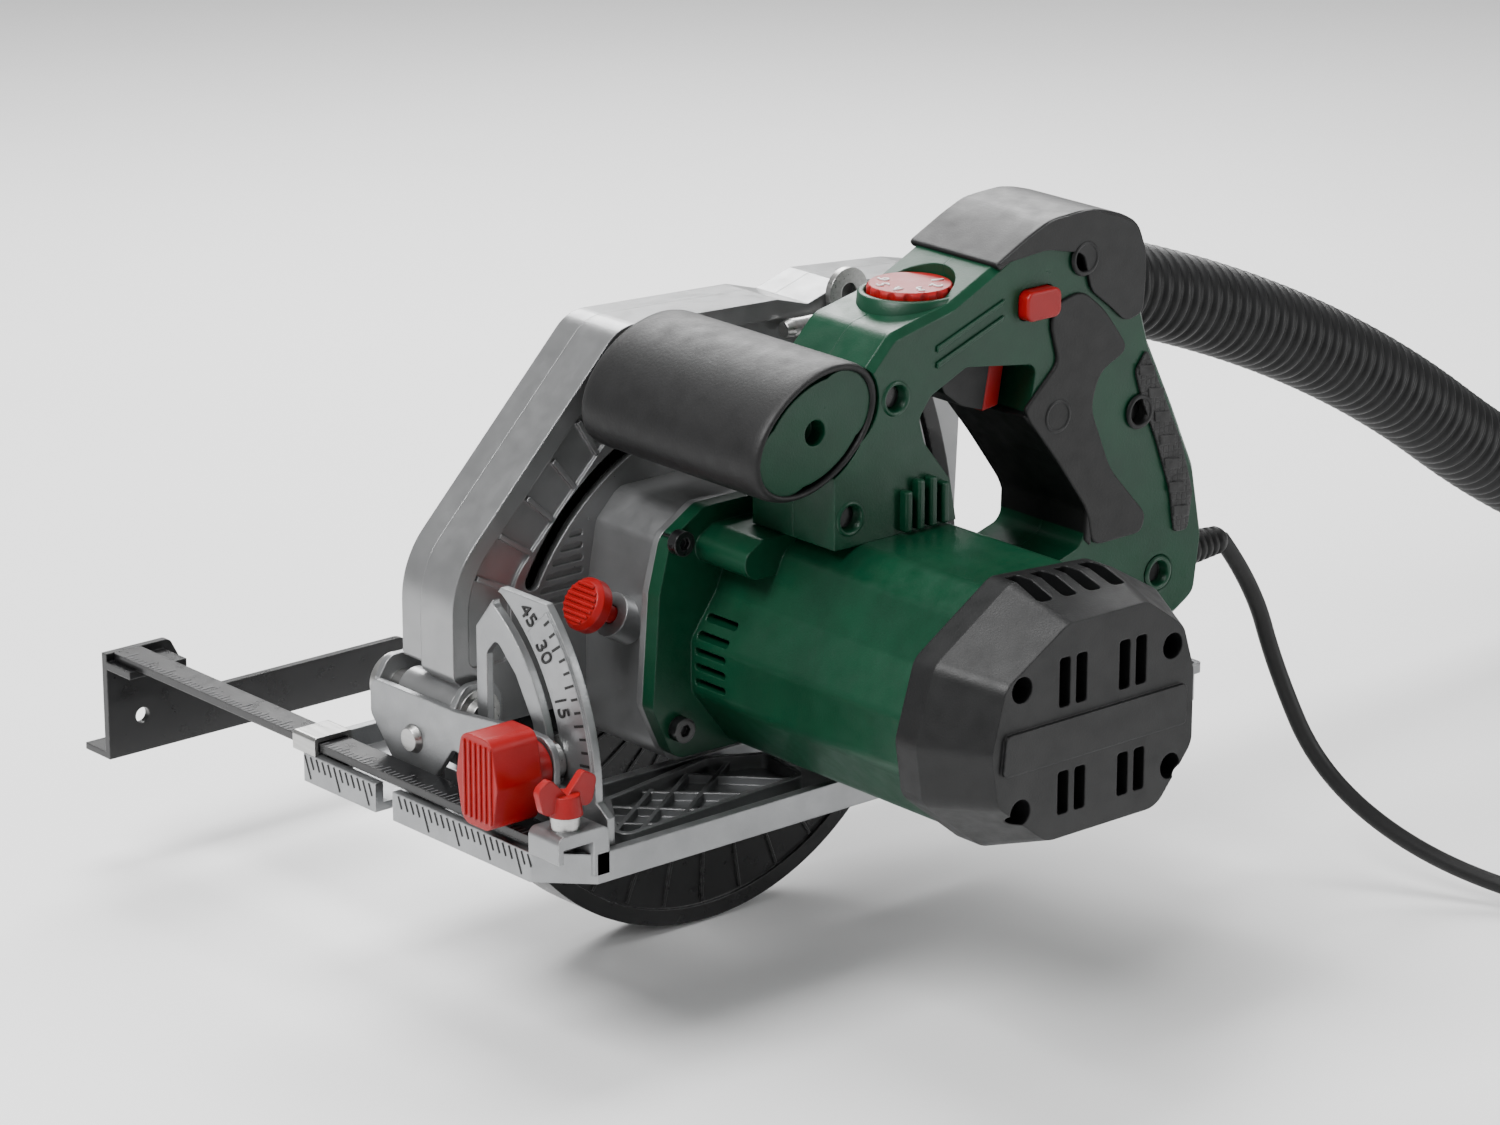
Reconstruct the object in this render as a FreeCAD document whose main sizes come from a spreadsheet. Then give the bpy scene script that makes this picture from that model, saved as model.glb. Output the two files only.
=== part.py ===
import FreeCAD, Part
import Sketcher
import math
import os
import re

"""Hand-held circular saw with a 190 mm blade, a bevelling base plate and a parallel guide.

The pieces are drawn in working coordinates: +X is the cutting direction, +Y the motor side, +Z up,
z = 0 is the sole of the base plate, y = 0 the blade and x = 0 the blade's axis. At the end every piece
is moved so that the row's origin is the middle of the main grip, where the hand holds the saw.
"""

doc = FreeCAD.newDocument("CircularSaw")
sheet = doc.addObject("Spreadsheet::Sheet", "Dims")

DIMENSIONS = [
    # where the hand holds the main grip: the row's origin
    ("grip_x", -100), ("grip_y", 97), ("grip_z", 115),
    # base plate
    ("sole_front", 139), ("sole_rear", -161), ("sole_blade_side", -55), ("sole_motor_side", 100),
    ("sole_thick", 3), ("sole_rim_top", 10.5), ("sole_rib_top", 8),
    # blade, spindle and gears
    ("blade_radius", 95), ("blade_thick", 1.8), ("spindle_z", 30), ("spindle_radius", 7.5),
    ("motor_x", 6), ("motor_z", 61), ("shaft_radius", 4), ("gear_teeth", 35), ("pinion_teeth", 9),
    # hinges of the base: the depth hinge along Y and the bevel hinge along X
    ("depth_x", 112), ("depth_z", 36), ("bevel_y", 0), ("bevel_z", 24),
    ("slot_radius", 69.5), ("slot_angle", 8), ("arc_radius", 211),
    # guards
    ("guard_face", 16), ("guard_seam", -2), ("guard_back", -14), ("guard_wall", 3),
    ("lower_guard_radius", 101), ("lower_guard_near", 10), ("lower_guard_far", -9),
    # motor housing, from the gearbox flange to the end cap
    ("flange_start", 60), ("flange_end", 66), ("housing_end", 182), ("cap_end", 215), ("cavity_radius", 36),
    # main handle, split at its parting plane
    ("handle_near", 118), ("handle_split", 97), ("handle_far", 76),
    # second handle across the front
    ("second_x", 43), ("second_z", 144.5), ("second_half_long", 29.5), ("second_half_short", 19),
    ("second_start", 24.6), ("second_tilt", -30),
    # parallel guide
    ("guide_x", 131), ("guide_half_width", 6), ("guide_low", 12), ("guide_high", 15),
    # dial, button and dust hose
    ("dial_radius", 14.9), ("button_radius", 9.5), ("hose_radius", 18), ("cord_radius", 3.2),
]

for row, (alias, value) in enumerate(DIMENSIONS, start=1):
    sheet.set(f"A{row}", alias)
    sheet.set(f"B{row}", str(value))
    sheet.setAlias(f"B{row}", alias)
doc.recompute()

D = {alias: float(sheet.get(alias)) for alias, _ in DIMENSIONS}
SPINDLE = (0.0, D["spindle_z"])
MOTOR = (D["motor_x"], D["motor_z"])
DEPTH_AXIS = (D["depth_x"], D["depth_z"])
BEVEL_AXIS = (D["bevel_y"], D["bevel_z"])
TO_ROW = FreeCAD.Placement(FreeCAD.Vector(-D["grip_x"], -D["grip_y"], -D["grip_z"]), FreeCAD.Rotation())
SUBPARTS = []


# ---------------------------------------------------------------- outlines

def vec(x, y, z=0.0):
    return FreeCAD.Vector(x, y, z)


def polar(centre, radius, degrees):
    angle = math.radians(degrees)
    return (centre[0] + radius * math.cos(angle), centre[1] + radius * math.sin(angle))


def rounded(points):
    """A closed outline through (x, y, corner radius) points, as lines and tangent arcs."""
    corners = []
    count = len(points)
    for i, (x, y, radius) in enumerate(points):
        here = vec(x, y)
        to_last = vec(*points[i - 1][:2]) - here
        to_next = vec(*points[(i + 1) % count][:2]) - here
        if radius <= 0:
            corners.append((here, here, None))
            continue
        half_turn = to_last.getAngle(to_next) / 2
        reach = radius / math.tan(half_turn)
        start = here + to_last.normalize() * reach
        end = here + to_next.normalize() * reach
        bisector = (start + end) * 0.5 - here
        middle = here + bisector.normalize() * (radius / math.sin(half_turn) - radius)
        corners.append((start, end, middle))
    edges = []
    for i, (start, end, middle) in enumerate(corners):
        if middle is not None:
            edges.append(Part.Arc(start, middle, end))
        following = corners[(i + 1) % count][0]
        if (following - end).Length > 1e-6:
            edges.append(Part.LineSegment(end, following))
    return edges


def box_outline(x1, y1, x2, y2, radius=0.0):
    return rounded([(x1, y1, radius), (x2, y1, radius), (x2, y2, radius), (x1, y2, radius)])


def circle(x, y, radius):
    return [Part.Circle(vec(x, y), vec(0, 0, 1), radius)]


def radial_bar(start, end, half, degrees):
    """A straight bar that points away from the spindle, between two distances from it."""
    (x1, y1), (x2, y2) = polar(SPINDLE, start, degrees), polar(SPINDLE, end, degrees)
    nx, ny = -math.sin(math.radians(degrees)) * half, math.cos(math.radians(degrees)) * half
    return rounded([(x1 + nx, y1 + ny, 0), (x2 + nx, y2 + ny, 0), (x2 - nx, y2 - ny, 0),
                    (x1 - nx, y1 - ny, 0)])


def hexagon(x, y, across_flats):
    points = [polar((x, y), across_flats / math.sqrt(3), 60 * i) for i in range(6)]
    return rounded([(px, py, 0) for px, py in points])


def sector(centre, inner, outer, start, end):
    """A ring's sector between two angles in degrees."""
    middle = (start + end) / 2
    a, b, c = (vec(*polar(centre, outer, angle)) for angle in (start, middle, end))
    d, e, f = (vec(*polar(centre, inner, angle)) for angle in (end, middle, start))
    return [Part.Arc(a, b, c), Part.LineSegment(c, d), Part.Arc(d, e, f), Part.LineSegment(f, a)]


def slot_on_arc(centre, radius, width, start, end):
    """A round-ended slot that follows a circle between two angles in degrees."""
    half = width / 2
    outer = [vec(*polar(centre, radius + half, angle)) for angle in (start, (start + end) / 2, end)]
    inner = [vec(*polar(centre, radius - half, angle)) for angle in (end, (start + end) / 2, start)]
    turn = math.degrees(half / radius)
    return [Part.Arc(*outer), Part.Arc(outer[2], vec(*polar(centre, radius, end + turn)), inner[0]),
            Part.Arc(*inner), Part.Arc(inner[2], vec(*polar(centre, radius, start - turn)), outer[0])]


def ellipse_outline(centre, half_long, half_short, tilt):
    """An oval from four arcs, its long axis turned by tilt degrees."""
    side_shift = half_long - half_short * 0.82
    end_radius = half_short * 0.82
    turn = FreeCAD.Rotation(vec(0, 0, 1), tilt)
    middle = vec(*centre)

    def place(x, y):
        return middle + turn.multVec(vec(x, y))

    top, low = place(0, half_short), place(0, -half_short)
    right = [place(side_shift, end_radius), place(half_long, 0), place(side_shift, -end_radius)]
    left = [place(-side_shift, -end_radius), place(-half_long, 0), place(-side_shift, end_radius)]
    return [Part.Arc(left[2], top, right[0]), Part.Arc(*right), Part.Arc(right[2], low, left[0]),
            Part.Arc(*left)]


def toothed(centre, root, tip, teeth, root_share, tip_share, phase=0.0, rake=0.0):
    """A gear or saw outline: straight-sided teeth between a root and a tip circle."""
    points = []
    pitch = 360.0 / teeth
    for i in range(teeth):
        middle = phase + i * pitch
        for share, radius, lean in ((-root_share, root, 0), (-tip_share, tip, rake),
                                    (tip_share, tip, rake), (root_share, root, 0)):
            x, y = polar(centre, radius, middle + lean + share * pitch / 2)
            points.append((x, y, 0))
    return rounded(points)


# ---------------------------------------------------------------- features

class Piece:
    """One sub-part as a PartDesign body made of sketches with pads, pockets and revolutions.

    A level is a number or the name of a cell, with an optional shift such as "guard_face + 2".
    """

    PLANES = {"Z": "XY_Plane", "Y": "XZ_Plane", "X": "YZ_Plane"}

    def __init__(self, label):
        self.body = doc.addObject("PartDesign::Body", label)
        self.body.Label = label
        self.made = 0
        self.local = FreeCAD.Placement()
        SUBPARTS.append(self)

    def plane(self, axis):
        for feature in self.body.Origin.OriginFeatures:
            if feature.Role == self.PLANES[axis]:
                return feature
        raise ValueError(axis)

    @staticmethod
    def formula(level):
        if isinstance(level, str):
            return re.sub(r"([a-z]\w*)", r"Dims.\1", level)
        return str(level)

    def sketch(self, axis, level, loops, shift=None):
        self.made += 1
        made = self.body.newObject("Sketcher::SketchObject", f"{self.body.Name}_sketch{self.made}")
        made.AttachmentSupport = [(self.plane(axis), "")]
        made.MapMode = "FlatFace"
        sign = "-" if axis == "Y" else ""
        made.setExpression("AttachmentOffset.Base.z", f"{sign}({self.formula(level)})")
        if shift:
            made.setExpression("AttachmentOffset.Base.x", self.formula(shift[0]))
            made.setExpression("AttachmentOffset.Base.y", self.formula(shift[1]))
        for loop in loops:
            made.addGeometry(loop, False)
        made.recompute()
        return made

    def pad(self, axis, low, high, *loops):
        profile = self.sketch(axis, low, loops)
        made = self.body.newObject("PartDesign::Pad", f"{self.body.Name}_pad{self.made}")
        made.Profile = profile
        made.setExpression("Length", f"({self.formula(high)}) - ({self.formula(low)})")
        made.Reversed = axis == "Y"
        made.recompute()
        return self

    def cut(self, axis, low, high, *loops):
        base = self.body.Tip
        profile = self.sketch(axis, low, loops)
        made = self.body.newObject("PartDesign::Pocket", f"{self.body.Name}_cut{self.made}")
        made.Profile = profile
        made.setExpression("Length", f"({self.formula(high)}) - ({self.formula(low)})")
        made.Reversed = axis != "Y"
        made.recompute()
        if made.Shape.Volume >= base.Shape.Volume - 1e-3:
            raise RuntimeError(f"{self.body.Label}: cut {self.made} removes nothing")
        return self

    def turn(self, axis, centre, *loops, remove=False):
        """Loops of (along the axis, away from it) turned a full circle about an axis through centre.

        For axis Y centre is (x, z), for X it is (y, z) and for Z it is (x, y).
        """
        if axis == "Y":
            profile = self.sketch("X", centre[0], loops, shift=(0, centre[1]))
            line = "H_Axis"
        elif axis == "X":
            profile = self.sketch("Y", centre[0], loops, shift=(0, centre[1]))
            line = "H_Axis"
        else:
            profile = self.sketch("Y", centre[1], loops, shift=(centre[0], 0))
            line = "V_Axis"
        kind = "Groove" if remove else "Revolution"
        made = self.body.newObject(f"PartDesign::{kind}", f"{self.body.Name}_turn{self.made}")
        made.Profile = profile
        made.ReferenceAxis = (profile, [line])
        made.Angle = 360
        made.recompute()
        return self

    def loft(self, axis, low, low_loop, high, high_loop):
        first = self.sketch(axis, low, [low_loop])
        second = self.sketch(axis, high, [high_loop])
        made = self.body.newObject("PartDesign::AdditiveLoft", f"{self.body.Name}_loft{self.made}")
        made.Profile = first
        made.Sections = [second]
        made.Ruled = True
        made.recompute()
        return self

    def edge_finish(self, kind, size, keep):
        """A chamfer or fillet on the edges whose middle and ends satisfy keep(point)."""
        tip = self.body.Tip
        names = []
        for number, edge in enumerate(tip.Shape.Edges, start=1):
            middle = edge.valueAt((edge.FirstParameter + edge.LastParameter) / 2)
            if all(keep(point) for point in [middle] + [v.Point for v in edge.Vertexes]):
                names.append(f"Edge{number}")
        if not names:
            raise RuntimeError(f"{self.body.Label}: no edge to finish")
        made = self.body.newObject(f"PartDesign::{kind}", f"{self.body.Name}_{kind.lower()}{self.made}")
        made.Base = (tip, names)
        if kind == "Fillet":
            made.Radius = size
        else:
            made.Size = size
        made.recompute()
        return self

    def place(self, base, axis, degrees):
        """Turns a piece drawn about its own origin and moves that origin to base."""
        self.local = FreeCAD.Placement(vec(*base), FreeCAD.Rotation(vec(*axis), degrees))
        return self

    def finish(self):
        self.body.Placement = TO_ROW.multiply(self.local)

    @property
    def label(self):
        return self.body.Label

    @property
    def result(self):
        return self.body


class Built:
    """A sub-part whose shape is made with Part's own functions."""

    def __init__(self, label, shape):
        self.made = doc.addObject("Part::Feature", label)
        self.made.Label = label
        self.made.Shape = shape
        SUBPARTS.append(self)

    def finish(self):
        self.made.Placement = TO_ROW.multiply(self.made.Placement)

    @property
    def label(self):
        return self.made.Label

    @property
    def result(self):
        return self.made


# ---------------------------------------------------------------- base plate

SLOT = (-104, -14, 102, 40)
RECESS = [(30, 45, 5), (84, 55, 5), (106, 88, 5), (16, 82, 5), (10, 56, 5)]

shoe = Piece("shoe")
FRONT, REAR = D["sole_front"], D["sole_rear"]
OFF_SIDE, NEAR_SIDE = D["sole_blade_side"], D["sole_motor_side"]
SOLE = [(REAR, OFF_SIDE, 8), (FRONT - 14, OFF_SIDE, 0), (FRONT, OFF_SIDE + 11, 2), (FRONT, NEAR_SIDE - 16, 2),
        (FRONT - 16, NEAR_SIDE, 0), (REAR, NEAR_SIDE, 8)]
shoe.pad("Z", 0, "sole_thick", rounded(SOLE))
rim_outer = rounded(SOLE)
rim_inner = rounded([(REAR + 3.5, OFF_SIDE + 3.5, 5), (FRONT - 15.5, OFF_SIDE + 3.5, 0),
                     (FRONT - 3.5, OFF_SIDE + 12.6, 0), (FRONT - 3.5, NEAR_SIDE - 17.6, 0),
                     (FRONT - 17.6, NEAR_SIDE - 3.5, 0), (REAR + 3.5, NEAR_SIDE - 3.5, 5)])
shoe.pad("Z", "sole_thick", "sole_rim_top", rim_outer, rim_inner)
shoe.pad("Z", "sole_thick", "sole_rib_top", box_outline(-108, -18, 106, 44, 4), box_outline(*SLOT, 2))
shoe.cut("Z", 0, "sole_thick", box_outline(*SLOT, 2))
shoe.pad("Z", "sole_thick", "sole_rib_top", rounded(RECESS), rounded([
    (31.5, 47.5, 3), (82.5, 57, 3), (102, 85.6, 3), (17.6, 79.8, 3), (12.8, 57.4, 3)]))
RIB_LINES = [(24, 50, 74, 83), (44, 51, 94, 85), (62, 54, 98, 78), (18, 78, 44, 50), (38, 80, 66, 54),
             (60, 82, 84, 58), (80, 83, 92, 72)]
for x1, y1, x2, y2 in RIB_LINES:
    length = math.hypot(x2 - x1, y2 - y1)
    nx, ny = -(y2 - y1) / length * 0.8, (x2 - x1) / length * 0.8
    shoe.pad("Z", "sole_thick", 6, rounded([(x1 + nx, y1 + ny, 0), (x2 + nx, y2 + ny, 0),
                                           (x2 - nx, y2 - ny, 0), (x1 - nx, y1 - ny, 0)]))
shoe.pad("Z", "sole_rim_top", 14, box_outline(-161, 89, -120, 100, 3), box_outline(-159, 91, -122, 98, 1.5))
shoe.cut("Z", 0, "sole_rim_top", box_outline(131.5, -2, 139, 8, 0))

ears = Piece("bevel_ears")
ears.pad("X", 118.4, 120.7, rounded([(-9, 3, 0), (11, 3, 0), (11, 25, 3), (4, 29.2, 1), (-4, 29.2, 1),
                                     (-6, 26, 1),
                                       (-9, 18, 1)]), circle(0, 24, 3.05))
ears.pad("X", -131.2, -128.5, rounded([(-14, 3, 0), (14, 3, 0), (11, 30, 6), (0, 34, 6), (-11, 30, 6)]),
             circle(0, 24, 3.05))

QUADRANT_TOP = 87
quadrant = Piece("bevel_quadrant")
arc_start = (math.sqrt(90 ** 2 - (QUADRANT_TOP - 24) ** 2), QUADRANT_TOP)
quadrant.pad("X", 112.5, 115.5, [
    Part.LineSegment(vec(*arc_start), vec(40, 87)), Part.LineSegment(vec(40, 87), vec(26, 70)),
    Part.LineSegment(vec(26, 70), vec(26, 3)), Part.LineSegment(vec(26, 3), vec(96, 3)),
    Part.LineSegment(vec(96, 3), vec(96, 20)), Part.LineSegment(vec(96, 20), vec(90, 24)),
    Part.Arc(vec(90, 24), vec(*polar((0, 24), 90, 22)), vec(*arc_start))])
quadrant.cut("X", 112.5, 115.5, slot_on_arc((0, 24), D["slot_radius"], 7, 4, 56))
quadrant.cut("X", 112.5, 115.5, rounded([(31.5, 12, 2), (58, 12, 2), (60, 26, 3), (56.5, 43, 3),
                                         (47.5, 58, 3), (37, 68, 3),
                                         (31.5, 62, 3)]))
quadrant.pad("X", 115.5, 116.3, sector((0, 24), 75.5, 89, 4, 43))
quadrant.pad("X", 107, 112.5, box_outline(26, 3, 96, 5.4))

rivets = Piece("base_rivets")
for x, y in ((109.4, 34), (109.4, 60), (109.4, 88)):
    rivets.turn("Z", (x, y), rounded([(0, 5.4, 0), (2.2, 5.4, 0), (1.7, 6.9, 0), (0, 6.9, 0)]))

bridge = Piece("guide_bridge")
bridge.pad("Y", -50, -37, rounded([(122.6, 3, 0), (124.6, 3, 0), (124.6, 15.4, 0), (137.4, 15.4, 0),
                                   (137.4, 10.5, 0),
                                   (139, 10.5, 0), (139, 17.2, 1.5), (122.6, 17.2, 1.5)]))
clamp = Piece("guide_clamp_block")
clamp.pad("Y", 84, 100, rounded([(118, 3, 0), (124.6, 3, 0), (124.6, 15.4, 0), (137.4, 15.4, 0),
                                 (137.4, 10.5, 0),
                                 (139.5, 10.5, 0), (139.5, 20, 3), (118, 20, 3)]))
clamp.cut("Z", 15.4, 20, circle(131, 93, 3.0))

# ---------------------------------------------------------------- frame between the base and the saw

fork = Piece("depth_fork")
fork.pad("X", 121, 123.5, rounded([(-11, 12, 4), (11, 12, 4), (22, 26, 3), (56, 22, 6), (78, 24, 6),
                                   (78, 44, 8),
                                   (60, 44, 6), (24, 40, 4), (-24.5, 40, 4), (-24.5, 27, 4)]),
         circle(0, 24, 3.0), circle(*polar((0, 24), D["slot_radius"], D["slot_angle"]), 3.1))
for low in (-24.5, 18.3):
    fork.pad("Y", low, low + 2.7, rounded([(101, 27, 8), (121.5, 27, 0), (121.5, 40, 0), (117, 47, 6),
                                           (101, 47, 8)]),
             circle(*DEPTH_AXIS, 5.0))
fork_rivets = Piece("bevel_rivets")
fork_rivets.turn("X", (0, "bevel_z"), rounded([(115.6, 0, 0), (115.6, 4.2, 0), (118.3, 4.2, 0),
                                               (118.3, 3, 0), (123.6, 3, 0),
                                              (123.6, 5.2, 0), (126, 4, 0), (126, 0, 0)]))
fork_rivets.turn("X", (0, "bevel_z"), rounded([(-133.6, 0, 0), (-133.6, 4, 0), (-131.4, 5.4, 0),
                                               (-131.4, 3, 0),
                                             (-125.6, 3, 0), (-125.6, 5, 0), (-123.2, 5, 0), (-123.2, 0, 0)]))
barrel = Piece("depth_pivot")
barrel.turn("Y", ("depth_x", "depth_z"), rounded([
    (-30, 0, 0), (-30, 5.5, 0), (-27, 6.5, 0), (-27, 10, 0), (-24.5, 10, 0), (-24.5, 5, 0), (21, 5, 0),
    (21, 9, 0), (22.4, 9, 0), (22.4, 6, 0), (25.6, 5.4, 0), (25.6, 0, 0)]))
barrel.cut("Y", 23, 25.6, hexagon(*DEPTH_AXIS, 6))

PIVOT = DEPTH_AXIS
arc = Piece("depth_arc")
arc.pad("Y", 20.5, 23.5, sector(PIVOT, D["arc_radius"] - 9.5, D["arc_radius"] + 9.5, 150, 186))
arc.cut("Y", 20.5, 23.5, slot_on_arc(PIVOT, D["arc_radius"], 7, 152.5, 183.5))
arc.pad("Y", 20.5, 23.5, rounded([(-106.6, 16, 0), (-128.3, 16, 0), (-128.3, 34, 4), (-107.9, 42, 0),
                                  (-107.9, 30, 0)]))
arc.pad("X", -128.3, -125.8, rounded([(-9, 15, 4), (23.5, 15, 0), (23.5, 34, 0), (-9, 34, 4)]),
        circle(0, 24, 3.0))

# ---------------------------------------------------------------- upper guard and dust duct

GUARD = [(106, 28, 0), (104, 36, 0), (118, 48, 4), (118, 84, 34), (44, 160, 16), (-28, 157, 3),
         (-42, 153, 3),
         (-58, 158, 3), (-102, 154.5, 4), (-136, 147, 0), (-136, 117, 0), (-116, 108, 6), (-112, 28, 0)]
CAVITY = [(104.2, 28, 0), (104.2, 46, 0), (114.5, 50, 2), (114.5, 83, 30), (42.8, 156.5, 13),
          (-27, 153.7, 3),
          (-42, 149.6, 3), (-58, 154.6, 3), (-102, 151, 4), (-136, 143.6, 0), (-136, 120.4, 0), (-113, 110.4, 6),
          (-108.5, 28, 0)]
LEVER_SLOT = (95.2, 6.6, 29, 121)

shell = Piece("guard_shell")
shell.pad("Y", "guard_seam", "guard_face", rounded(GUARD))
shell.cut("Y", "guard_seam", "guard_face - guard_wall", rounded(CAVITY))
shell.pad("Y", "guard_face - guard_wall", "guard_face", sector(SPINDLE, 0.01, 30, 180, 360))
shell.pad("Y", -13.6, "guard_face", circle(*DEPTH_AXIS, 8.2), circle(*DEPTH_AXIS, 5.06))
shell.cut("Y", "guard_face - guard_wall", "guard_face", circle(*SPINDLE, 13.1))
shell.cut("Y", "guard_face - guard_wall", "guard_face", slot_on_arc(SPINDLE, *LEVER_SLOT))
for z, front in ((66, 82), (70.5, 80), (75, 77.5), (79.5, 74.5), (84, 71), (88.5, 67)):
    shell.cut("Y", 14.8, "guard_face", box_outline(61, z, front, z + 2.2, 1))
shell.cut("Y", 14.6, "guard_face", rounded([
    (111, 50, 4), (111, 81.5, 30), (41, 152.5, 13), (-28, 150, 4), (-42, 146, 4), (-56, 150, 4), (-98, 147, 4),
    (-98, 133, 4), (-56, 134, 4), (36, 134, 12), (93, 77, 24), (93, 50, 4)]))
for angle, inner, outer in ((26, 103, 119), (34, 101, 117), (42, 99.5, 114), (50, 99.5, 114),
                            (58, 102, 117),
                            (66, 106, 122), (76, 106, 122), (86, 104.5, 120), (96, 104, 119)):
    shell.pad("Y", 14.6, 16.2, radial_bar(inner, outer, 0.9, angle))

cover = Piece("guard_cover")
cover.pad("Y", "guard_back", "guard_seam", rounded([
    (101, 46, 0), (118, 50, 2), (118, 84, 34), (44, 160, 16), (-28, 157, 3), (-42, 153, 3), (-58, 158, 3),
    (-102, 154.5, 4), (-136, 147, 0), (-136, 117, 0), (-116, 108, 6), (-112, 34, 0), (-28, 34, 4), (-24, 54, 20),
    (24, 54, 20), (28, 46, 4)]))
cover.cut("Y", "guard_back + guard_wall", "guard_seam", rounded([
    (101, 45, 0), (114.5, 50, 2), (114.5, 83, 30), (42.8, 156.5, 13), (-27, 153.7, 3), (-42, 149.6, 3),
    (-58, 154.6, 3), (-102, 151, 4), (-136, 143.6, 0), (-136, 120.4, 0), (-113, 110.4, 6), (-108.5, 33, 0),
    (-28, 33, 0), (-28, 54, 0), (28, 54, 0), (28, 45, 0)]))
cover.edge_finish("Chamfer", 1.5, lambda point: abs(point.y - D["guard_back"]) < 0.01 and point.z > 112)

duct = Piece("dust_duct")
duct.loft("X", -136, box_outline(-14, 117, 16, 147, 4), -176, box_outline(-19, 112, 21, 152, 19.5))
duct.pad("X", -196, -176, circle(1, 132, 20.5))
duct.turn("X", (1, 132), rounded([(-197, 0, 0), (-197, 16.5, 0), (-140, 12, 0), (-140, 0, 0)]), remove=True)
duct.cut("X", -141, -136, box_outline(-11, 120.4, 13, 143.6, 2))

screws = Piece("housing_screws")
for x, z in ((-96, 146), (20, 150), (90, 104.5), (108, 58), (-104, 60)):
    screws.turn("Y", (x, z), rounded([(-15, 0, 0), (-15, 3.2, 0), (-14, 3.6, 0), (-14, 1.9, 0),
                                      (-3, 1.9, 0),
                                           (-3, 0, 0)]))
for x, z in ((-96, 146), (20, 150), (90, 104.5), (108, 58), (-104, 60)):
    cover.cut("Y", "guard_back", "guard_seam", circle(x, z, 1.9))

# ---------------------------------------------------------------- gearbox, motor housing and end cap

gearbox = Piece("gearbox_housing")
gearbox.pad("Y", "guard_face", 57, rounded([(60, 15, 8), (60, 66, 4), (55, 93, 5), (45, 103, 8),
                                            (-24, 103, 14), (-41, 84, 14),
                                           (-41, 26, 12), (-28, 15, 8)]))
gearbox.pad("Y", "guard_face", 34.5, circle(*SPINDLE, 29.2))
gearbox.pad("Y", 57, "flange_start", rounded([(62, 20, 8), (71, 40, 6), (68, 80, 8), (63, 99, 8),
                                              (48, 108, 6), (-30, 108, 12),
                                             (-46, 88, 12), (-46, 32, 12), (-34, 18, 8)]))
gearbox.cut("Y", "guard_face", 54, circle(*SPINDLE, 27.3))
gearbox.cut("Y", "guard_face", 54, circle(*MOTOR, 13))
gearbox.cut("Y", 54, "flange_start", circle(*MOTOR, 11.02))
gearbox.cut("Y", "guard_face", 34.5, box_outline(-14, 36, 24, 60, 0))

END_VIEW = [(-22, 20, 10), (36, 20, 10), (54, 43, 8), (54, 62, 6), (43, 77, 5), (35, 95, 6), (24, 102, 8),
            (-16, 102, 8),
            (-29, 93, 6), (-40, 76, 6), (-40, 41, 8)]
FLANGE = [(62, 20, 8), (71, 40, 6), (68, 80, 8), (63, 99, 8), (48, 108, 6), (-30, 108, 12), (-46, 88, 12),
          (-46, 32, 12),
          (-34, 18, 8)]
SCREWS_FLANGE = [(60, 98), (60, 31), (-37, 97), (-36, 27)]
housing = Piece("motor_housing")
housing.pad("Y", "flange_start", "flange_end", rounded(FLANGE))
housing.pad("Y", "flange_end", "housing_end", rounded(END_VIEW))
housing.pad("Y", "flange_end", 92, rounded([(30, 88, 0), (52, 88, 6), (52, 97, 5), (44, 101.5, 4),
                                            (24, 101.5, 0)]))
housing.cut("Y", "flange_start", "housing_end", circle(*MOTOR, D["cavity_radius"]))
for x, z in SCREWS_FLANGE:
    housing.cut("Y", "flange_start", "flange_end", circle(x, z, 2.3))
for z in (46, 51.5, 57, 62.5, 68):
    housing.cut("X", 30, 60, box_outline(68, z, 84, z + 2.6, 1.2))

for x, z in SCREWS_FLANGE:
    screws.turn("Y", (x, z), rounded([(60.1, 0, 0), (60.1, 2.2, 0), (66, 2.2, 0), (66, 4.4, 0),
                                      (70, 4.4, 0), (70, 0, 0)]))
    screws.cut("Y", 68, 70, hexagon(x, z, 4))

CAP_WIDE = [(-30, 18, 10), (35, 18, 10), (62, 40, 8), (65, 60, 8), (57, 86, 8), (24, 107, 8),
            (-20, 104, 10), (-44, 90, 8),
            (-50, 70, 8), (-50, 42, 8)]
CAP_END = [(-22, 25, 10), (28, 25, 10), (50, 42, 8), (53, 60, 8), (47, 82, 8), (20, 98, 8), (-16, 98, 10),
           (-33, 86, 8),
           (-38, 70, 8), (-38, 44, 8)]
cap = Piece("end_cap")
cap.pad("Y", "housing_end", 192, rounded(CAP_WIDE))
cap.loft("Y", 192, rounded(CAP_WIDE), "cap_end", rounded(CAP_END))
cap.cut("Y", "housing_end", 188, circle(*MOTOR, 36))
cap.cut("Y", 188, 199, circle(*MOTOR, 24))
cap.cut("Y", 188, 204, circle(*MOTOR, 9.52))
for x, z in ((40, 80), (40, 38), (-28, 38), (-28, 80)):
    cap.cut("Y", 205, "cap_end", circle(x, z, 4.5))
for x in (-18, -7, 4, 15):
    cap.cut("Z", 92, 108, box_outline(x, 185, x + 6.5, 203, 2))
for x in (-16, -8.5, 11, 18.5):
    cap.cut("Y", 203, "cap_end", box_outline(x, 70, x + 5, 87, 1.2))
    cap.cut("Y", 203, "cap_end", box_outline(x, 33, x + 5, 48, 1.2))
cap.pad("Y", 213, 216.4, rounded([(-34, 52, 2), (49, 52, 2), (47.5, 66, 2), (-34, 66, 2)]))

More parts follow.
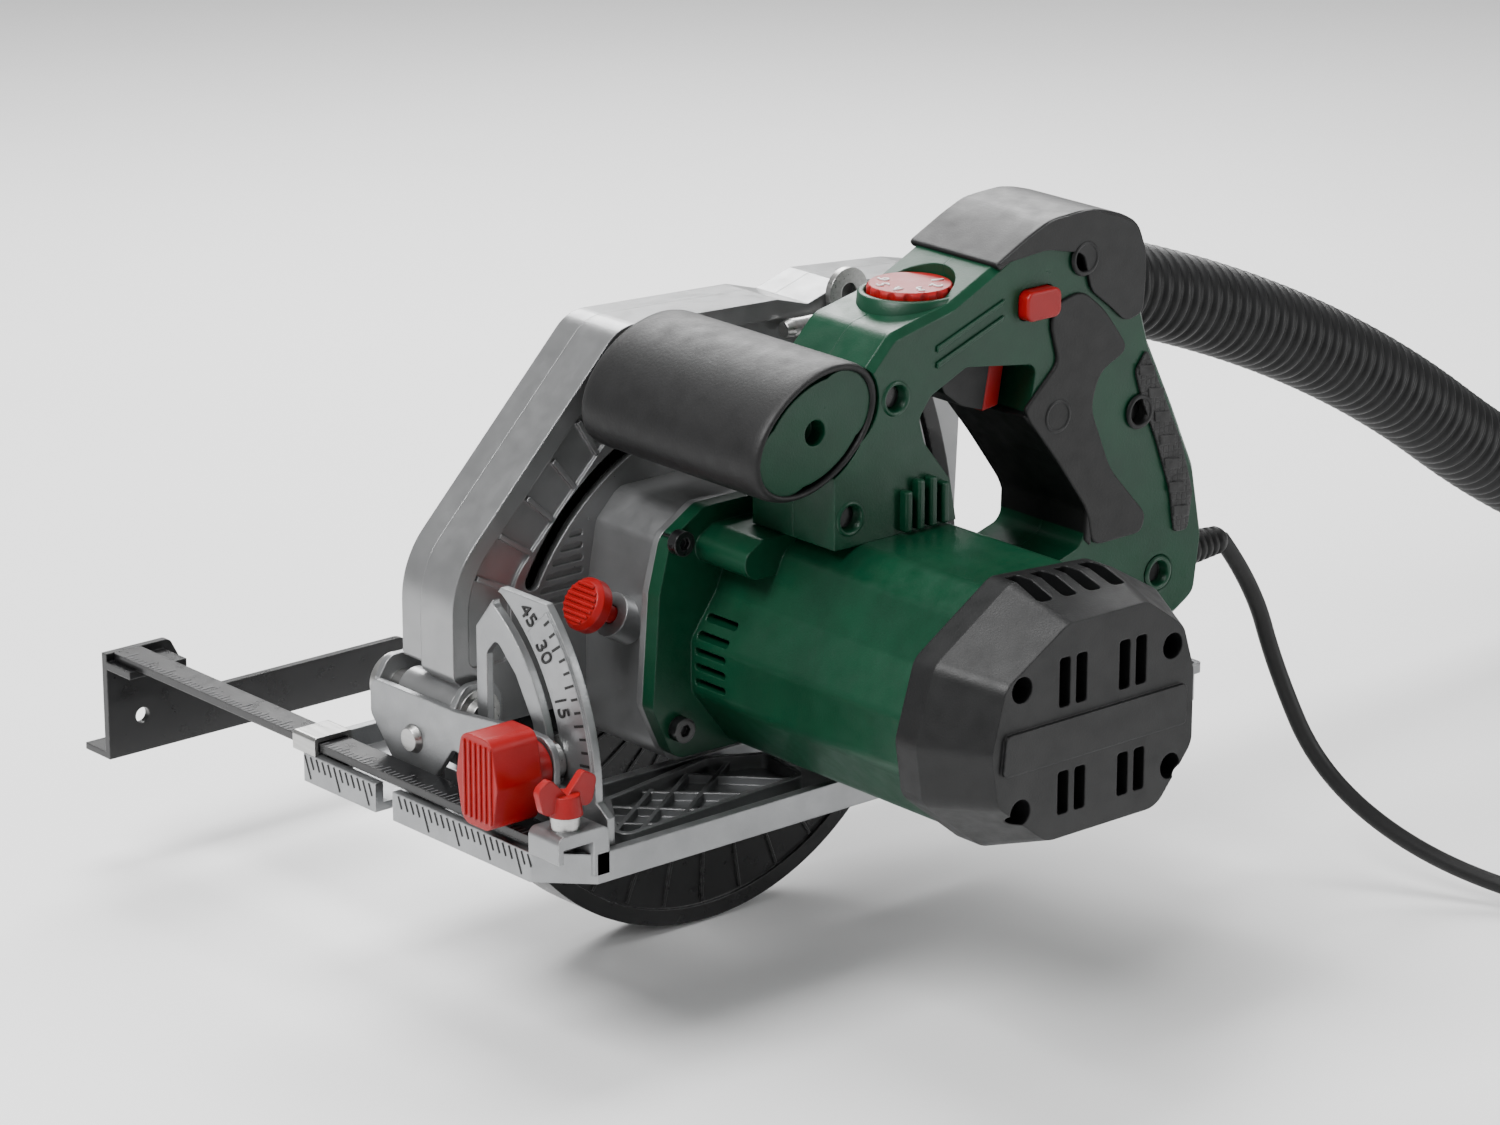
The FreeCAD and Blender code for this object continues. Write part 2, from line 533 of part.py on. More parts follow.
for x, z in ((40, 80), (40, 38), (-28, 38), (-28, 80)):
    screws.turn("Y", (x, z), rounded([(205, 0, 0), (205, 3.8, 0), (208, 3.8, 0), (208, 0, 0)]))
    screws.cut("Y", 206.5, 208, hexagon(x, z, 3))

# ---------------------------------------------------------------- motor

stator = Piece("stator")
stator.pad("Y", 92, 138, circle(*MOTOR, 35.9), circle(*MOTOR, 24.5))
brush_holders = Piece("brush_holders")
brushes = Piece("carbon_brushes")
for side in (-1, 1):
    low, high = sorted((61 + side * 17, 61 + side * 35))
    tip, back = sorted((61 + side * 14.4, 61 + side * 27))
    brush_holders.pad("Z", low, high, box_outline(0.5, 150, 11.5, 166, 1), box_outline(3, 153, 9, 163))
    brushes.pad("Z", tip, back, box_outline(3.2, 153.2, 8.8, 162.8))
bearings = Piece("bearings")
bearings.pad("Y", 54, 60, circle(*MOTOR, 11), circle(*MOTOR, 4.06))
bearings.pad("Y", 199, 204, circle(*MOTOR, 9.5), circle(*MOTOR, 4.06))

shaft = Piece("armature_shaft")
shaft.pad("Y", 17.5, 203.5, circle(*MOTOR, D["shaft_radius"]))
laminations = Piece("armature_core")
laminations.pad("Y", 94, 136, circle(*MOTOR, 23.8), circle(*MOTOR, 4.0))
for number in range(12):
    angle = 30 * number
    x, z = polar(MOTOR, 22.5, angle)
    laminations.cut("Y", 94, 136, circle(x, z, 1.6))
commutator = Piece("commutator")
commutator.pad("Y", 148, 168, circle(*MOTOR, 14), circle(*MOTOR, 4.0))
fan = Piece("motor_fan")
fan.pad("Y", 70, 72, circle(*MOTOR, 33), circle(*MOTOR, 4.0))
fan.pad("Y", 72, 86, circle(*MOTOR, 8), circle(*MOTOR, 4.0))
for number in range(9):
    angle = math.radians(40 * number)
    cx, cz = math.cos(angle), math.sin(angle)
    fan.pad("Y", 72, 84, rounded([(6 + 7 * cx - cz, 61 + 7 * cz + cx, 0),
                                  (6 + 32 * cx - cz, 61 + 32 * cz + cx, 0),
                                  (6 + 32 * cx + cz, 61 + 32 * cz - cx, 0), (6 + 7 * cx + cz, 61 + 7 * cz - cx, 0)]))

DISTANCE = math.dist(SPINDLE, MOTOR)
LINE = math.degrees(math.atan2(MOTOR[1] - SPINDLE[1], MOTOR[0] - SPINDLE[0]))
MODULE = 2 * DISTANCE / (D["gear_teeth"] + D["pinion_teeth"])


def spur(centre, teeth, phase):
    pitch_radius = MODULE * teeth / 2
    return toothed(centre, pitch_radius - 1.1 * MODULE, pitch_radius + 0.8 * MODULE, int(teeth),
                   0.56, 0.16, phase)


pinion = Piece("pinion")
pinion.pad("Y", 18.5, 32, spur(MOTOR, D["pinion_teeth"], LINE + 180 + 180 / D["pinion_teeth"]),
           circle(*MOTOR, 4.0))
gear = Piece("spindle_gear")
gear.pad("Y", 19, 31, spur(SPINDLE, D["gear_teeth"], LINE), circle(*SPINDLE, 7.5))

# ---------------------------------------------------------------- blade and spindle

spindle = Piece("spindle")
spindle.turn("Y", (0, "spindle_z"), rounded([
    (1.2, 0, 0), (1.2, 7.5, 0), (35, 7.5, 0), (35, 14, 0), (41, 14, 0), (41, 7.5, 0), (52, 7.5, 0), (52, 0, 0)]))
BUTTON_TURN = math.degrees(math.atan2(0.48, 0.88))
for notch in (0, 180):
    spindle.cut("Y", 34.5, 41.5, radial_bar(9, 16, 3.6, BUTTON_TURN + notch))
bearings.pad("Y", 13, 18, circle(*SPINDLE, 13), circle(*SPINDLE, 7.56))
flanges = Piece("blade_flanges")
flanges.turn("Y", (0, "spindle_z"), rounded([(1.25, 7.5, 0), (1.25, 20, 0), (4, 20, 0), (7.5, 14, 0),
                                             (7.5, 7.5, 0)]))
flanges.turn("Y", (0, "spindle_z"), rounded([(-1.25, 4.1, 0), (-1.25, 20, 0), (-3.5, 20, 0), (-6, 13, 0),
                                             (-6, 4.1, 0)]))
blade_bolt = Piece("blade_bolt")
blade_bolt.turn("Y", (0, "spindle_z"), rounded([(-12, 0, 0), (-12, 7.5, 0), (-6.2, 7.5, 0), (-6.2, 4, 0),
                                                (1.1, 4, 0), (1.1, 0, 0)]))
blade_bolt.cut("Y", -12, -8, hexagon(*SPINDLE, 6))
blade = Piece("blade")
blade.pad("Y", "-blade_thick / 2", "blade_thick / 2",
          toothed(SPINDLE, D["blade_radius"] - 6, D["blade_radius"], 24, 0.9, 0.3, rake=-1.5),
          circle(*SPINDLE, D["spindle_radius"]))
for number in range(4):
    blade.cut("Y", "-blade_thick / 2", "blade_thick / 2",
              slot_on_arc(SPINDLE, 52, 2, 90 * number + 10, 90 * number + 40))

# ---------------------------------------------------------------- lower guard and its lever

lower = Piece("lower_guard")
LOW, HIGH = 174, 364


def guard_sector(inner, outer):
    return sector(SPINDLE, inner, outer, LOW, HIGH)


lower.pad("Y", "lower_guard_far", "lower_guard_near", guard_sector(24, D["lower_guard_radius"]))
lower.cut("Y", "lower_guard_far + 1.6", "lower_guard_near - 1.6", guard_sector(22,
                                                                               D["lower_guard_radius"] - 1.8))
lower.cut("Y", "lower_guard_far", "lower_guard_far + 1.6", sector(SPINDLE, 20, 62, LOW - 1, HIGH + 1))
lower.pad("Y", "lower_guard_near", 11.2, guard_sector(95, D["lower_guard_radius"]))
lower.pad("Y", "lower_guard_near - 1.6", 12, circle(*SPINDLE, 26), circle(*SPINDLE, 15))
for angle in range(184, 360, 11):
    lower.pad("Y", "lower_guard_near", 10.8, radial_bar(30, 94, 0.6, angle))

RING_ANGLE = 115
lever = Piece("retraction_lever")
lever.pad("Y", 10, 12, radial_bar(25, 98, 5, RING_ANGLE))
lever.pad("Y", 12, 17, radial_bar(92.5, 98, 4, RING_ANGLE))
lever.pad("Y", 17, 19.5, radial_bar(92.5, 130, 5.5, RING_ANGLE))
ring_x, ring_z = polar(SPINDLE, 138, RING_ANGLE)
lever.pad("Y", 17, 19.5, circle(ring_x, ring_z, 9))
lever.cut("Y", 16, 20, circle(ring_x, ring_z, 3.5))
lever.turn("X", (20.2, 147), rounded([(-51, 0, 0), (-51, 3.2, 0), (-36, 3.2, 0), (-30, 3.6, 0),
                                      (-27, 2.8, 0), (-27, 0, 0)]))

# ---------------------------------------------------------------- main handle

HANDLE = [(35, 102, 0), (35, 130, 3), (24, 158, 8), (10, 172, 8), (-17, 178, 6), (-34, 186, 8),
          (-52, 195, 10), (-62, 199, 4),
          (-80, 200, 10), (-102, 192, 8), (-106, 182, 3), (-106, 168, 4), (-112, 148, 8), (-125, 122, 12), (-136, 98, 12),
          (-141, 72, 12), (-138, 50, 8), (-126, 43, 6), (-112, 50, 8), (-93, 62, 8), (-60, 52, 8), (-46, 44, 0),
          (-40.2, 44, 0), (-40.2, 72, 0), (-63, 75, 5), (-80, 80, 6), (-82, 93, 12), (-66, 115, 12), (-53, 131, 4),
          (-57, 150, 4), (-24, 155, 3), (-8, 148, 4), (-2.5, 141, 4), (-5, 132, 4), (-17, 117, 6), (-20, 102, 0)]
SECOND = ellipse_outline((D["second_x"], D["second_z"]),
                         D["second_half_long"], D["second_half_short"], D["second_tilt"])
TRIGGER_ROOM = [(-17, 149.5, 0), (-58.5, 149.5, 0), (-58.5, 163, 0), (-17, 163, 0)]
SCREWS_HANDLE = [(-66, 130), (-106, 124), (-78, 184), (-118, 62), (8, 150), (28, 112), (-10, 109)]


def handle_half(label, low, high):
    half = Piece(label)
    half.pad("Y", low, high, rounded(HANDLE))
    half.cut("Y", low, high, SECOND)
    half.cut("Z", 172, 200, circle(-17, 97, 15.3))
    half.cut("Z", 164, 172, circle(-17, 97, 5))
    return half


near_half = handle_half("handle_near_half", "handle_split", "handle_near")
far_half = handle_half("handle_far_half", "handle_far", "handle_split")
near_half.cut("Y", "handle_split", 106.4, rounded(TRIGGER_ROOM))
far_half.cut("Y", 87.6, "handle_split", rounded(TRIGGER_ROOM))
for half, low, high in ((near_half, 97, 118), (far_half, 76, 97)):
    half.cut("Y", low, high, box_outline(-64.4, 166.4, -47.6, 177.6, 3.3))
near_half.cut("Y", "handle_split", 106, box_outline(-44, 163.5, -20, 171, 0))
far_half.cut("Y", 88, "handle_split", box_outline(-44, 163.5, -20, 171, 0))
for x, z in SCREWS_HANDLE:
    near_half.cut("Y", 112, "handle_near", circle(x, z, 4.6))
    near_half.cut("Y", "handle_split", 112, circle(x, z, 1.9))
near_half.edge_finish("Chamfer", 2.5, lambda point: abs(point.y - D["handle_near"]) < 0.01 and (
    point.z > 186 or point.x < -107))
far_half.edge_finish("Chamfer", 2.5, lambda point: abs(point.y - D["handle_far"]) < 0.01 and (
    point.z > 186 or point.x < -107))

for x, z in SCREWS_HANDLE:
    screws.turn("Y", (x, z), rounded([(100, 0, 0), (100, 1.9, 0), (112, 1.9, 0), (112, 4, 0),
                                      (115, 3.6, 0), (115, 0, 0)]))

GRIP_RUBBER = [(-50, 134, 0), (-66, 147, 3), (-78, 140, 3), (-81, 130, 3), (-91, 106, 4), (-109, 86, 4),
               (-107, 80, 3),
               (-84, 82, 3), (-82.5, 93, 8), (-67, 115.5, 10), (-54.5, 130, 2)]
BACK_RUBBER = [(-108, 143, 2), (-117, 125, 4), (-126, 109, 4), (-131, 91, 4), (-129, 78, 2), (-121, 93, 4),
               (-113, 113, 4),
               (-106, 127, 2)]
grips = Piece("grip_rubber")
grips.pad("Y", "handle_near", 119.2, rounded(GRIP_RUBBER))
grips.pad("Y", 74.8, "handle_far", rounded(GRIP_RUBBER))
grips.pad("Y", "handle_near", 118.8, rounded(BACK_RUBBER))
grips.pad("Y", 75.2, "handle_far", rounded(BACK_RUBBER))

core = Piece("second_handle_core")
CORE = ellipse_outline((D["second_x"], D["second_z"]),
                       D["second_half_long"] - 3.5, D["second_half_short"] - 3.5,
                       D["second_tilt"])
core.pad("Y", 27, 117, CORE)
core.cut("Y", 110, 117, circle(D["second_x"], D["second_z"], 4.5))
sleeve = Piece("second_handle_grip")
sleeve.pad("Y", "second_start", 27, SECOND)
sleeve.pad("Y", 27, "handle_near", SECOND, CORE)

switch = Piece("trigger_switch")
switch.pad("Y", 88.5, 105.5, box_outline(-43.5, 164, -22.5, 170.5))

trigger = Piece("trigger")
trigger.pad("Y", 88, 106, rounded([(-26, 157, 0), (-25.5, 160, 2), (-18, 160, 2), (-18, 152, 0),
                                   (-22, 150, 0), (-25, 143, 3), (-33, 137, 5), (-42, 134, 3),
                                   (-49, 135, 3), (-52, 151, 0), (-54, 157, 0)]))
trigger.cut("Y", 88, 106, circle(-22, 157, 1.55))
trigger_pin = Piece("trigger_pin")
trigger_pin.pad("Y", 84, 110, circle(-22, 157, 1.5))
lock_off = Piece("lock_off_button")
lock_off.pad("Y", 72.5, 122.5, box_outline(-64, 166.8, -48, 177.2, 3))
lock_off.edge_finish("Fillet", 1, lambda point: point.y > 122.4 or point.y < 72.6)

dial = Piece("speed_dial")
dial.turn("Z", (-17, 97), rounded([(0, 165, 0), (4.6, 165, 0), (4.6, 172.4, 0), (D["dial_radius"], 172.4, 0),
                                   (D["dial_radius"], 180.5, 0),
                                   (14, 181.5, 0), (0, 181.5, 0)]))
for number in range(16):
    x, y = polar((-17, 97), 16.1, 22.5 * number)
    dial.cut("Z", 177, 181.5, circle(x, y, 2))

hex_key = Piece("hex_key")
hex_key.pad("Y", 70.9, 75.9, rounded([(-12, 120, 2), (31, 120, 0), (31, 125, 0), (-7, 125, 2),
                                      (-7, 140, 0), (-12, 140, 0)]))

gland = Piece("strain_relief")
gland.turn("X", (100, 60), rounded([(-168, 0, 0), (-168, 5, 0), (-141, 7.5, 0), (-137, 7.5, 0),
                                    (-137, 0, 0)]))

# ---------------------------------------------------------------- small controls

lock_boss = Piece("spindle_lock_boss")
lock_boss.turn("Z", (0, 0), rounded([(3.4, 66, 0), (8, 66, 0), (8, 76, 0), (3.4, 76, 0)]))
lock_button = Piece("spindle_lock_button")
lock_button.turn("Z", (0, 0), rounded([(0, 17, 0), (3, 17, 0), (3, 82, 0), (5, 84, 0), (D["button_radius"], 85, 0),
                                       (D["button_radius"], 89, 0), (8, 91, 0),
                                       (0, 91, 0)]))
for piece in (lock_boss, lock_button):
    piece.place((0, 38, D["spindle_z"]), (0, 1, 0), 90 - BUTTON_TURN)
gearbox.cut("Y", 34.8, 41.2, radial_bar(26, 74, 3.4, BUTTON_TURN))

knob_y, knob_z = polar(BEVEL_AXIS, D["slot_radius"], D["slot_angle"])
knob_bolt = Piece("bevel_bolt")
knob_bolt.turn("X", (knob_y, knob_z), rounded([(106.5, 0, 0), (106.5, 8, 0), (112, 8, 0), (112, 3.1, 0),
                                               (116.6, 3.1, 0),
                                               (116.6, 7, 0), (120.7, 7, 0), (120.7, 3.1, 0), (127.8, 3.1, 0), (127.8, 0, 0)]))
knob = Piece("bevel_knob")
knob.turn("X", (knob_y, knob_z), rounded([(124, 3.14, 0), (124, 9, 0), (130, 9, 0), (130, 0, 0),
                                          (128, 0, 0), (128, 3.14, 0)]))
knob.pad("X", 130, 149, rounded([(knob_y - 8, knob_z - 16, 5), (knob_y + 8, knob_z - 16, 5),
                                 (knob_y + 11, knob_z, 4),
                                 (knob_y + 8, knob_z + 16, 5), (knob_y - 8, knob_z + 16, 5), (knob_y - 11, knob_z, 4)]))

wing = Piece("guide_wing_screw")
wing.turn("Z", (131, 93), rounded([(0, 15.6, 0), (2.9, 15.6, 0), (2.9, 25, 0), (6, 25, 0), (5, 32, 0),
                                   (0, 32, 0)]))
wing.pad("Y", 91.5, 94.5, rounded([(118.5, 36, 3), (121, 26, 3), (131, 28, 0), (141, 26, 3),
                                   (143.5, 36, 3), (138, 39, 2),
                                   (131, 31.5, 0), (124, 39, 2)]))
wing_spring = Piece("guide_screw_spring")
wing_spring.turn("Z", (131, 93), rounded([(3.3, 20, 0), (5.2, 20, 0), (5.2, 24.8, 0), (3.3, 24.8, 0)]))

lever_stud_x, lever_stud_z = polar(PIVOT, D["arc_radius"], 182)
depth_stud = Piece("depth_clamp_stud")
depth_stud.turn("Y", (lever_stud_x, lever_stud_z), rounded([
    (16, 0, 0), (16, 7, 0), (20.2, 7, 0), (20.2, 3.1, 0), (24, 3.1, 0), (24, 6.5, 0), (26, 6.5, 0), (26, 3, 0), (33, 3, 0),
    (33, 0, 0)]))
depth_lever = Piece("depth_lock_lever")
depth_lever.pad("Y", 26.3, 32, circle(lever_stud_x, lever_stud_z, 8.5),
                circle(lever_stud_x, lever_stud_z, 3.06))
depth_lever.pad("Y", 27.5, 31.5, rounded([
    (lever_stud_x - 6, lever_stud_z - 3, 0), (lever_stud_x - 40, lever_stud_z + 12, 3),
    (lever_stud_x - 36, lever_stud_z + 21, 3), (lever_stud_x - 3, lever_stud_z + 7, 0)]))

# ---------------------------------------------------------------- parallel guide

guide = Piece("guide_arm")
guide.pad("Z", "guide_low", "guide_high", box_outline(
    D["guide_x"] - D["guide_half_width"], -165, D["guide_x"] + D["guide_half_width"], 94, 1))
fence = Piece("guide_fence")
fence.pad("Y", -168, -165.1, rounded([(140, 15, 0), (140, -26, 0), (0, -26, 3), (0, -8, 8), (100, -8, 4),
                                      (112, 15, 3)]),
          circle(125, -12, 3))
fence.pad("Z", -26, -23.5, rounded([(140, -168, 0), (140, -181, 0), (0, -181, 0), (0, -168, 0)]))
fence.pad("Z", 9, 11.9, box_outline(115, -166, 140, -150))

# ---------------------------------------------------------------- dust hose and mains cord


def smooth_path(points):
    """Straight runs joined by tangent arcs through the route's points."""
    route = [vec(*point) for point in points]
    edges = []
    here = route[0]
    for i in range(1, len(route) - 1):
        back = route[i - 1] - route[i]
        ahead = route[i + 1] - route[i]
        reach = 0.45 * min(back.Length, ahead.Length)
        half_turn = (math.pi - back.getAngle(ahead)) / 2
        radius = reach / math.tan(half_turn)
        start = route[i] + FreeCAD.Vector(back).normalize() * reach
        end = route[i] + FreeCAD.Vector(ahead).normalize() * reach
        bisector = ((start + end) * 0.5 - route[i]).normalize()
        middle = route[i] + bisector * (radius / math.cos(half_turn) - radius)
        print(f"bend {i}: radius {radius:.0f} mm, turn {math.degrees(half_turn) * 2:.0f} degrees")
        edges += [Part.LineSegment(here, start).toShape(), Part.Arc(start, middle, end).toShape()]
        here = end
    edges.append(Part.LineSegment(here, route[-1]).toShape())
    return Part.Wire(edges)


def swept(points, radius):
    path = smooth_path(points)
    start = vec(*points[0])
    profile = Part.Wire([Part.makeCircle(radius, start, vec(*points[1]) - start)])
    return path.makePipeShell([profile], True, False)


FLOOR = -71.5
HOSE_ROUTE = [(-196, 1, 132), (-310, 1, 98), (-480, 1, -22), (-650, -8, FLOOR + 18),
              (-810, -40, FLOOR + 18)]
hose = Built("dust_hose", swept(HOSE_ROUTE, D["hose_radius"]).cut(swept(HOSE_ROUTE, D["hose_radius"] - 2)))
end_way = (vec(*HOSE_ROUTE[-1]) - vec(*HOSE_ROUTE[-2])).normalize()
cuff_start = vec(*HOSE_ROUTE[-1])
hose_cuff = Built("hose_cuff", Part.makeCylinder(D["hose_radius"], 45, cuff_start, end_way).cut(
    Part.makeCylinder(D["hose_radius"] - 3, 45, cuff_start, end_way)))

CORD_FLOOR = FLOOR + D["cord_radius"]
CORD_ROUTE = [(-168, 100, 60), (-184, 101, 40), (-190, 108, 8), (-198, 124, -30), (-214, 158, -56),
              (-236, 204, CORD_FLOOR),
              (-262, 262, CORD_FLOOR)]
cord = Built("cord", swept(CORD_ROUTE, D["cord_radius"]))
COIL_CENTRE = (-292, 286)
coil_low = vec(*COIL_CENTRE, FLOOR)
cord_coil = Built("cord_coil", Part.makeCylinder(35 + D["cord_radius"], 70, coil_low).cut(
    Part.makeCylinder(35 - D["cord_radius"], 70, coil_low)))
plug_low = vec(COIL_CENTRE[0] - 40, COIL_CENTRE[1] + 40, FLOOR)
plug_shape = Part.makeCylinder(16, 36, plug_low + vec(0, 0, 16), vec(-1, 1, 0))
for side in (-1, 1):
    pin_start = plug_low + vec(-25.4, 25.4, 16) + vec(9.5, 9.5, 0).multiply(side * 0.7071)
    plug_shape = plug_shape.fuse(Part.makeCylinder(2.4, 19, pin_start, vec(-1, 1, 0)))
plug = Built("plug", plug_shape)

# ---------------------------------------------------------------- placing, checking and writing

doc.recompute()
for piece in SUBPARTS:
    piece.finish()
doc.recompute()

os.makedirs("parts", exist_ok=True)
for piece in SUBPARTS:
    made = piece.result
    members = made.Group if made.TypeId == "PartDesign::Body" else [made]
    for member in members:
        if "Invalid" in member.State or "Error" in member.State:
            raise RuntimeError(f"{piece.label}: {member.Label} is in error")
    if made.Shape.isNull() or not made.Shape.isValid():
        raise RuntimeError(f"{piece.label} has no valid shape")
    made.Shape.exportStep(f"parts/{piece.label}.step")
    box = made.Shape.BoundBox
    print(f"{piece.label}: {len(made.Shape.Solids)} solids, {made.Shape.Volume / 1000:.1f} cm3, "
          f"x {box.XMin:.0f} to {box.XMax:.0f}, y {box.YMin:.0f} to {box.YMax:.0f}, z {box.ZMin:.0f} to {box.ZMax:.0f}")
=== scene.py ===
import math
import bmesh
import bpy
from mathutils import Matrix, Vector


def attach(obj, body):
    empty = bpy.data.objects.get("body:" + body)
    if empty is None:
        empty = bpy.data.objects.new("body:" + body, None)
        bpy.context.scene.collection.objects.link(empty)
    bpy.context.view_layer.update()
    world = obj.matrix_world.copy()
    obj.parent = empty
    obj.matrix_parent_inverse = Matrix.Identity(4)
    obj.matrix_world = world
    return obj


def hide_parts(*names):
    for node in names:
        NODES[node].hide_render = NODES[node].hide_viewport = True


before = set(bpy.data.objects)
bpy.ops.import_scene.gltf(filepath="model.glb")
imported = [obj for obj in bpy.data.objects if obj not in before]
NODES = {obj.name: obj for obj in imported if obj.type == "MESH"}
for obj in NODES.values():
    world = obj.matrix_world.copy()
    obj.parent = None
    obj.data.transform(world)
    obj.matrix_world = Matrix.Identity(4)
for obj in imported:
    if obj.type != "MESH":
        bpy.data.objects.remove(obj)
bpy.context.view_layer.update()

GRIP = (-100.0, 97.0, 115.0)
FLOOR = -71.5


def at(x, y, z):
    """A point in millimetres from the blade's foot on the sole, as metres in the row frame."""
    return Vector(((x - GRIP[0]) / 1000, (y - GRIP[1]) / 1000, (z - GRIP[2]) / 1000))


# ---------------------------------------------------------------- camera

azimuth, elevation = math.radians(139.5), math.radians(18.0)
target = at(-19.4, 10.9, 60.2)
back = Vector((math.sin(azimuth) * math.cos(elevation), -math.cos(azimuth) * math.cos(elevation),
               math.sin(elevation)))
camera_data = bpy.data.cameras.new("camera")
camera_data.lens = 124.8
camera_data.sensor_width = 36
camera = bpy.data.objects.new("camera", camera_data)
camera.location = target + back * 1.8589
camera.rotation_euler = (-back).to_track_quat("-Z", "Y").to_euler()
bpy.context.scene.collection.objects.link(camera)
bpy.context.scene.camera = camera


# ---------------------------------------------------------------- materials

class Graph:
    """A material's node tree with short calls for the nodes that every finish uses."""

    def __init__(self, name):
        self.material = bpy.data.materials.new(name)
        self.material.use_nodes = True
        self.tree = self.material.node_tree
        self.shader = self.tree.nodes["Principled BSDF"]
        self.place = self.node("ShaderNodeTexCoord").outputs["Object"]

    def node(self, kind, **settings):
        made = self.tree.nodes.new(kind)
        for key, value in settings.items():
            setattr(made, key, value)
        return made

    def join(self, source, target):
        self.tree.links.new(source, target)

    def noise(self, scale, detail=3.0, roughness=0.55):
        made = self.node("ShaderNodeTexNoise")
        made.inputs["Scale"].default_value = scale
        made.inputs["Detail"].default_value = detail
        made.inputs["Roughness"].default_value = roughness
        self.join(self.place, made.inputs["Vector"])
        return made.outputs["Fac"]

    def span(self, source, low, high, to_low, to_high):
        made = self.node("ShaderNodeMapRange")
        for key, value in (("From Min", low), ("From Max", high), ("To Min", to_low),
                           ("To Max", to_high)):
            made.inputs[key].default_value = value
        self.join(source, made.inputs["Value"])
        return made.outputs["Result"]

    def blend(self, factor, first, second):
        made = self.node("ShaderNodeMix", data_type="RGBA")
        self.join(factor, made.inputs["Factor"])
        for socket, value in ((made.inputs["A"], first), (made.inputs["B"], second)):
            if isinstance(value, tuple):
                socket.default_value = (*value, 1)
            else:
                self.join(value, socket)
        return made.outputs["Result"]

    def multiply(self, first, second):
        made = self.node("ShaderNodeMath", operation="MULTIPLY")
        self.join(first, made.inputs[0])
        self.join(second, made.inputs[1])
        return made.outputs[0]

    def edges(self, radius):
        """(rounded normal, how near an outer edge a point is)."""
        bevel = self.node("ShaderNodeBevel", samples=4)
        bevel.inputs["Radius"].default_value = radius
        flat = self.node("ShaderNodeNewGeometry").outputs["Normal"]
        dot = self.node("ShaderNodeVectorMath", operation="DOT_PRODUCT")
        self.join(bevel.outputs["Normal"], dot.inputs[0])
        self.join(flat, dot.inputs[1])
        return bevel.outputs["Normal"], self.span(dot.outputs["Value"], 0.995, 0.8, 0.0, 1.0)

    def bump(self, height, strength, distance, normal=None):
        made = self.node("ShaderNodeBump")
        made.inputs["Strength"].default_value = strength
        made.inputs["Distance"].default_value = distance
        self.join(height, made.inputs["Height"])
        if normal is not None:
            self.join(normal, made.inputs["Normal"])
        return made.outputs["Normal"]


def finish(name, colour, worn, rough, metallic=0.0, grain=1500.0, grain_depth=0.00008, wear=0.5,
           radius=0.0008, coat=0.0, spread=0.12, mottle=60.0, gloss=0.32):
    """A moulded, cast or painted surface: grain, uneven gloss and colour, softened and worn edges."""
    g = Graph(name)
    shader = g.shader
    shader.inputs["Metallic"].default_value = metallic
    shader.inputs["Coat Weight"].default_value = coat
    shader.inputs["Specular IOR Level"].default_value = gloss
    rounded_normal, edge = g.edges(radius)
    cloud = g.noise(mottle, 4.0)
    dark = tuple(c * (1 - spread) for c in colour)
    light = tuple(min(1.0, c * (1 + spread)) for c in colour)
    body = g.blend(g.span(cloud, 0.3, 0.7, 0.0, 1.0), dark, light)
    scuffs = g.span(g.noise(420.0, 6.0, 0.7), 0.42, 0.62, 0.15, 1.0)
    worn_amount = g.span(g.multiply(edge, scuffs), 0.0, 1.0, 0.0, wear)
    g.join(g.blend(worn_amount, body, worn), shader.inputs["Base Color"])
    g.join(g.span(g.noise(140.0, 5.0), 0.25, 0.75, rough - 0.07, rough + 0.09),
           shader.inputs["Roughness"])
    g.join(g.bump(g.noise(grain, 2.0), 0.6, grain_depth, rounded_normal), shader.inputs["Normal"])
    return g.material


def brushed(name, colour, rough, stretch, metallic=1.0):
    """Rolled or ground metal with fine lines along one direction."""
    g = Graph(name)
    shader = g.shader
    shader.inputs["Metallic"].default_value = metallic
    mapping = g.node("ShaderNodeMapping")
    mapping.inputs["Scale"].default_value = stretch
    g.join(g.place, mapping.inputs["Vector"])
    lines = g.node("ShaderNodeTexNoise")
    lines.inputs["Scale"].default_value = 1.0
    lines.inputs["Detail"].default_value = 4.0
    g.join(mapping.outputs["Vector"], lines.inputs["Vector"])
    rounded_normal, edge = g.edges(0.0005)
    dark = tuple(c * 0.8 for c in colour)
    body = g.blend(g.span(lines.outputs["Fac"], 0.3, 0.7, 0.0, 1.0), dark, colour)
    g.join(g.blend(g.span(edge, 0, 1, 0, 0.5), body, (0.8, 0.8, 0.8)), shader.inputs["Base Color"])
    g.join(g.span(lines.outputs["Fac"], 0.2, 0.8, rough - 0.06, rough + 0.1), shader.inputs["Roughness"])
    g.join(g.bump(lines.outputs["Fac"], 0.3, 0.00004, rounded_normal), shader.inputs["Normal"])
    return g.material


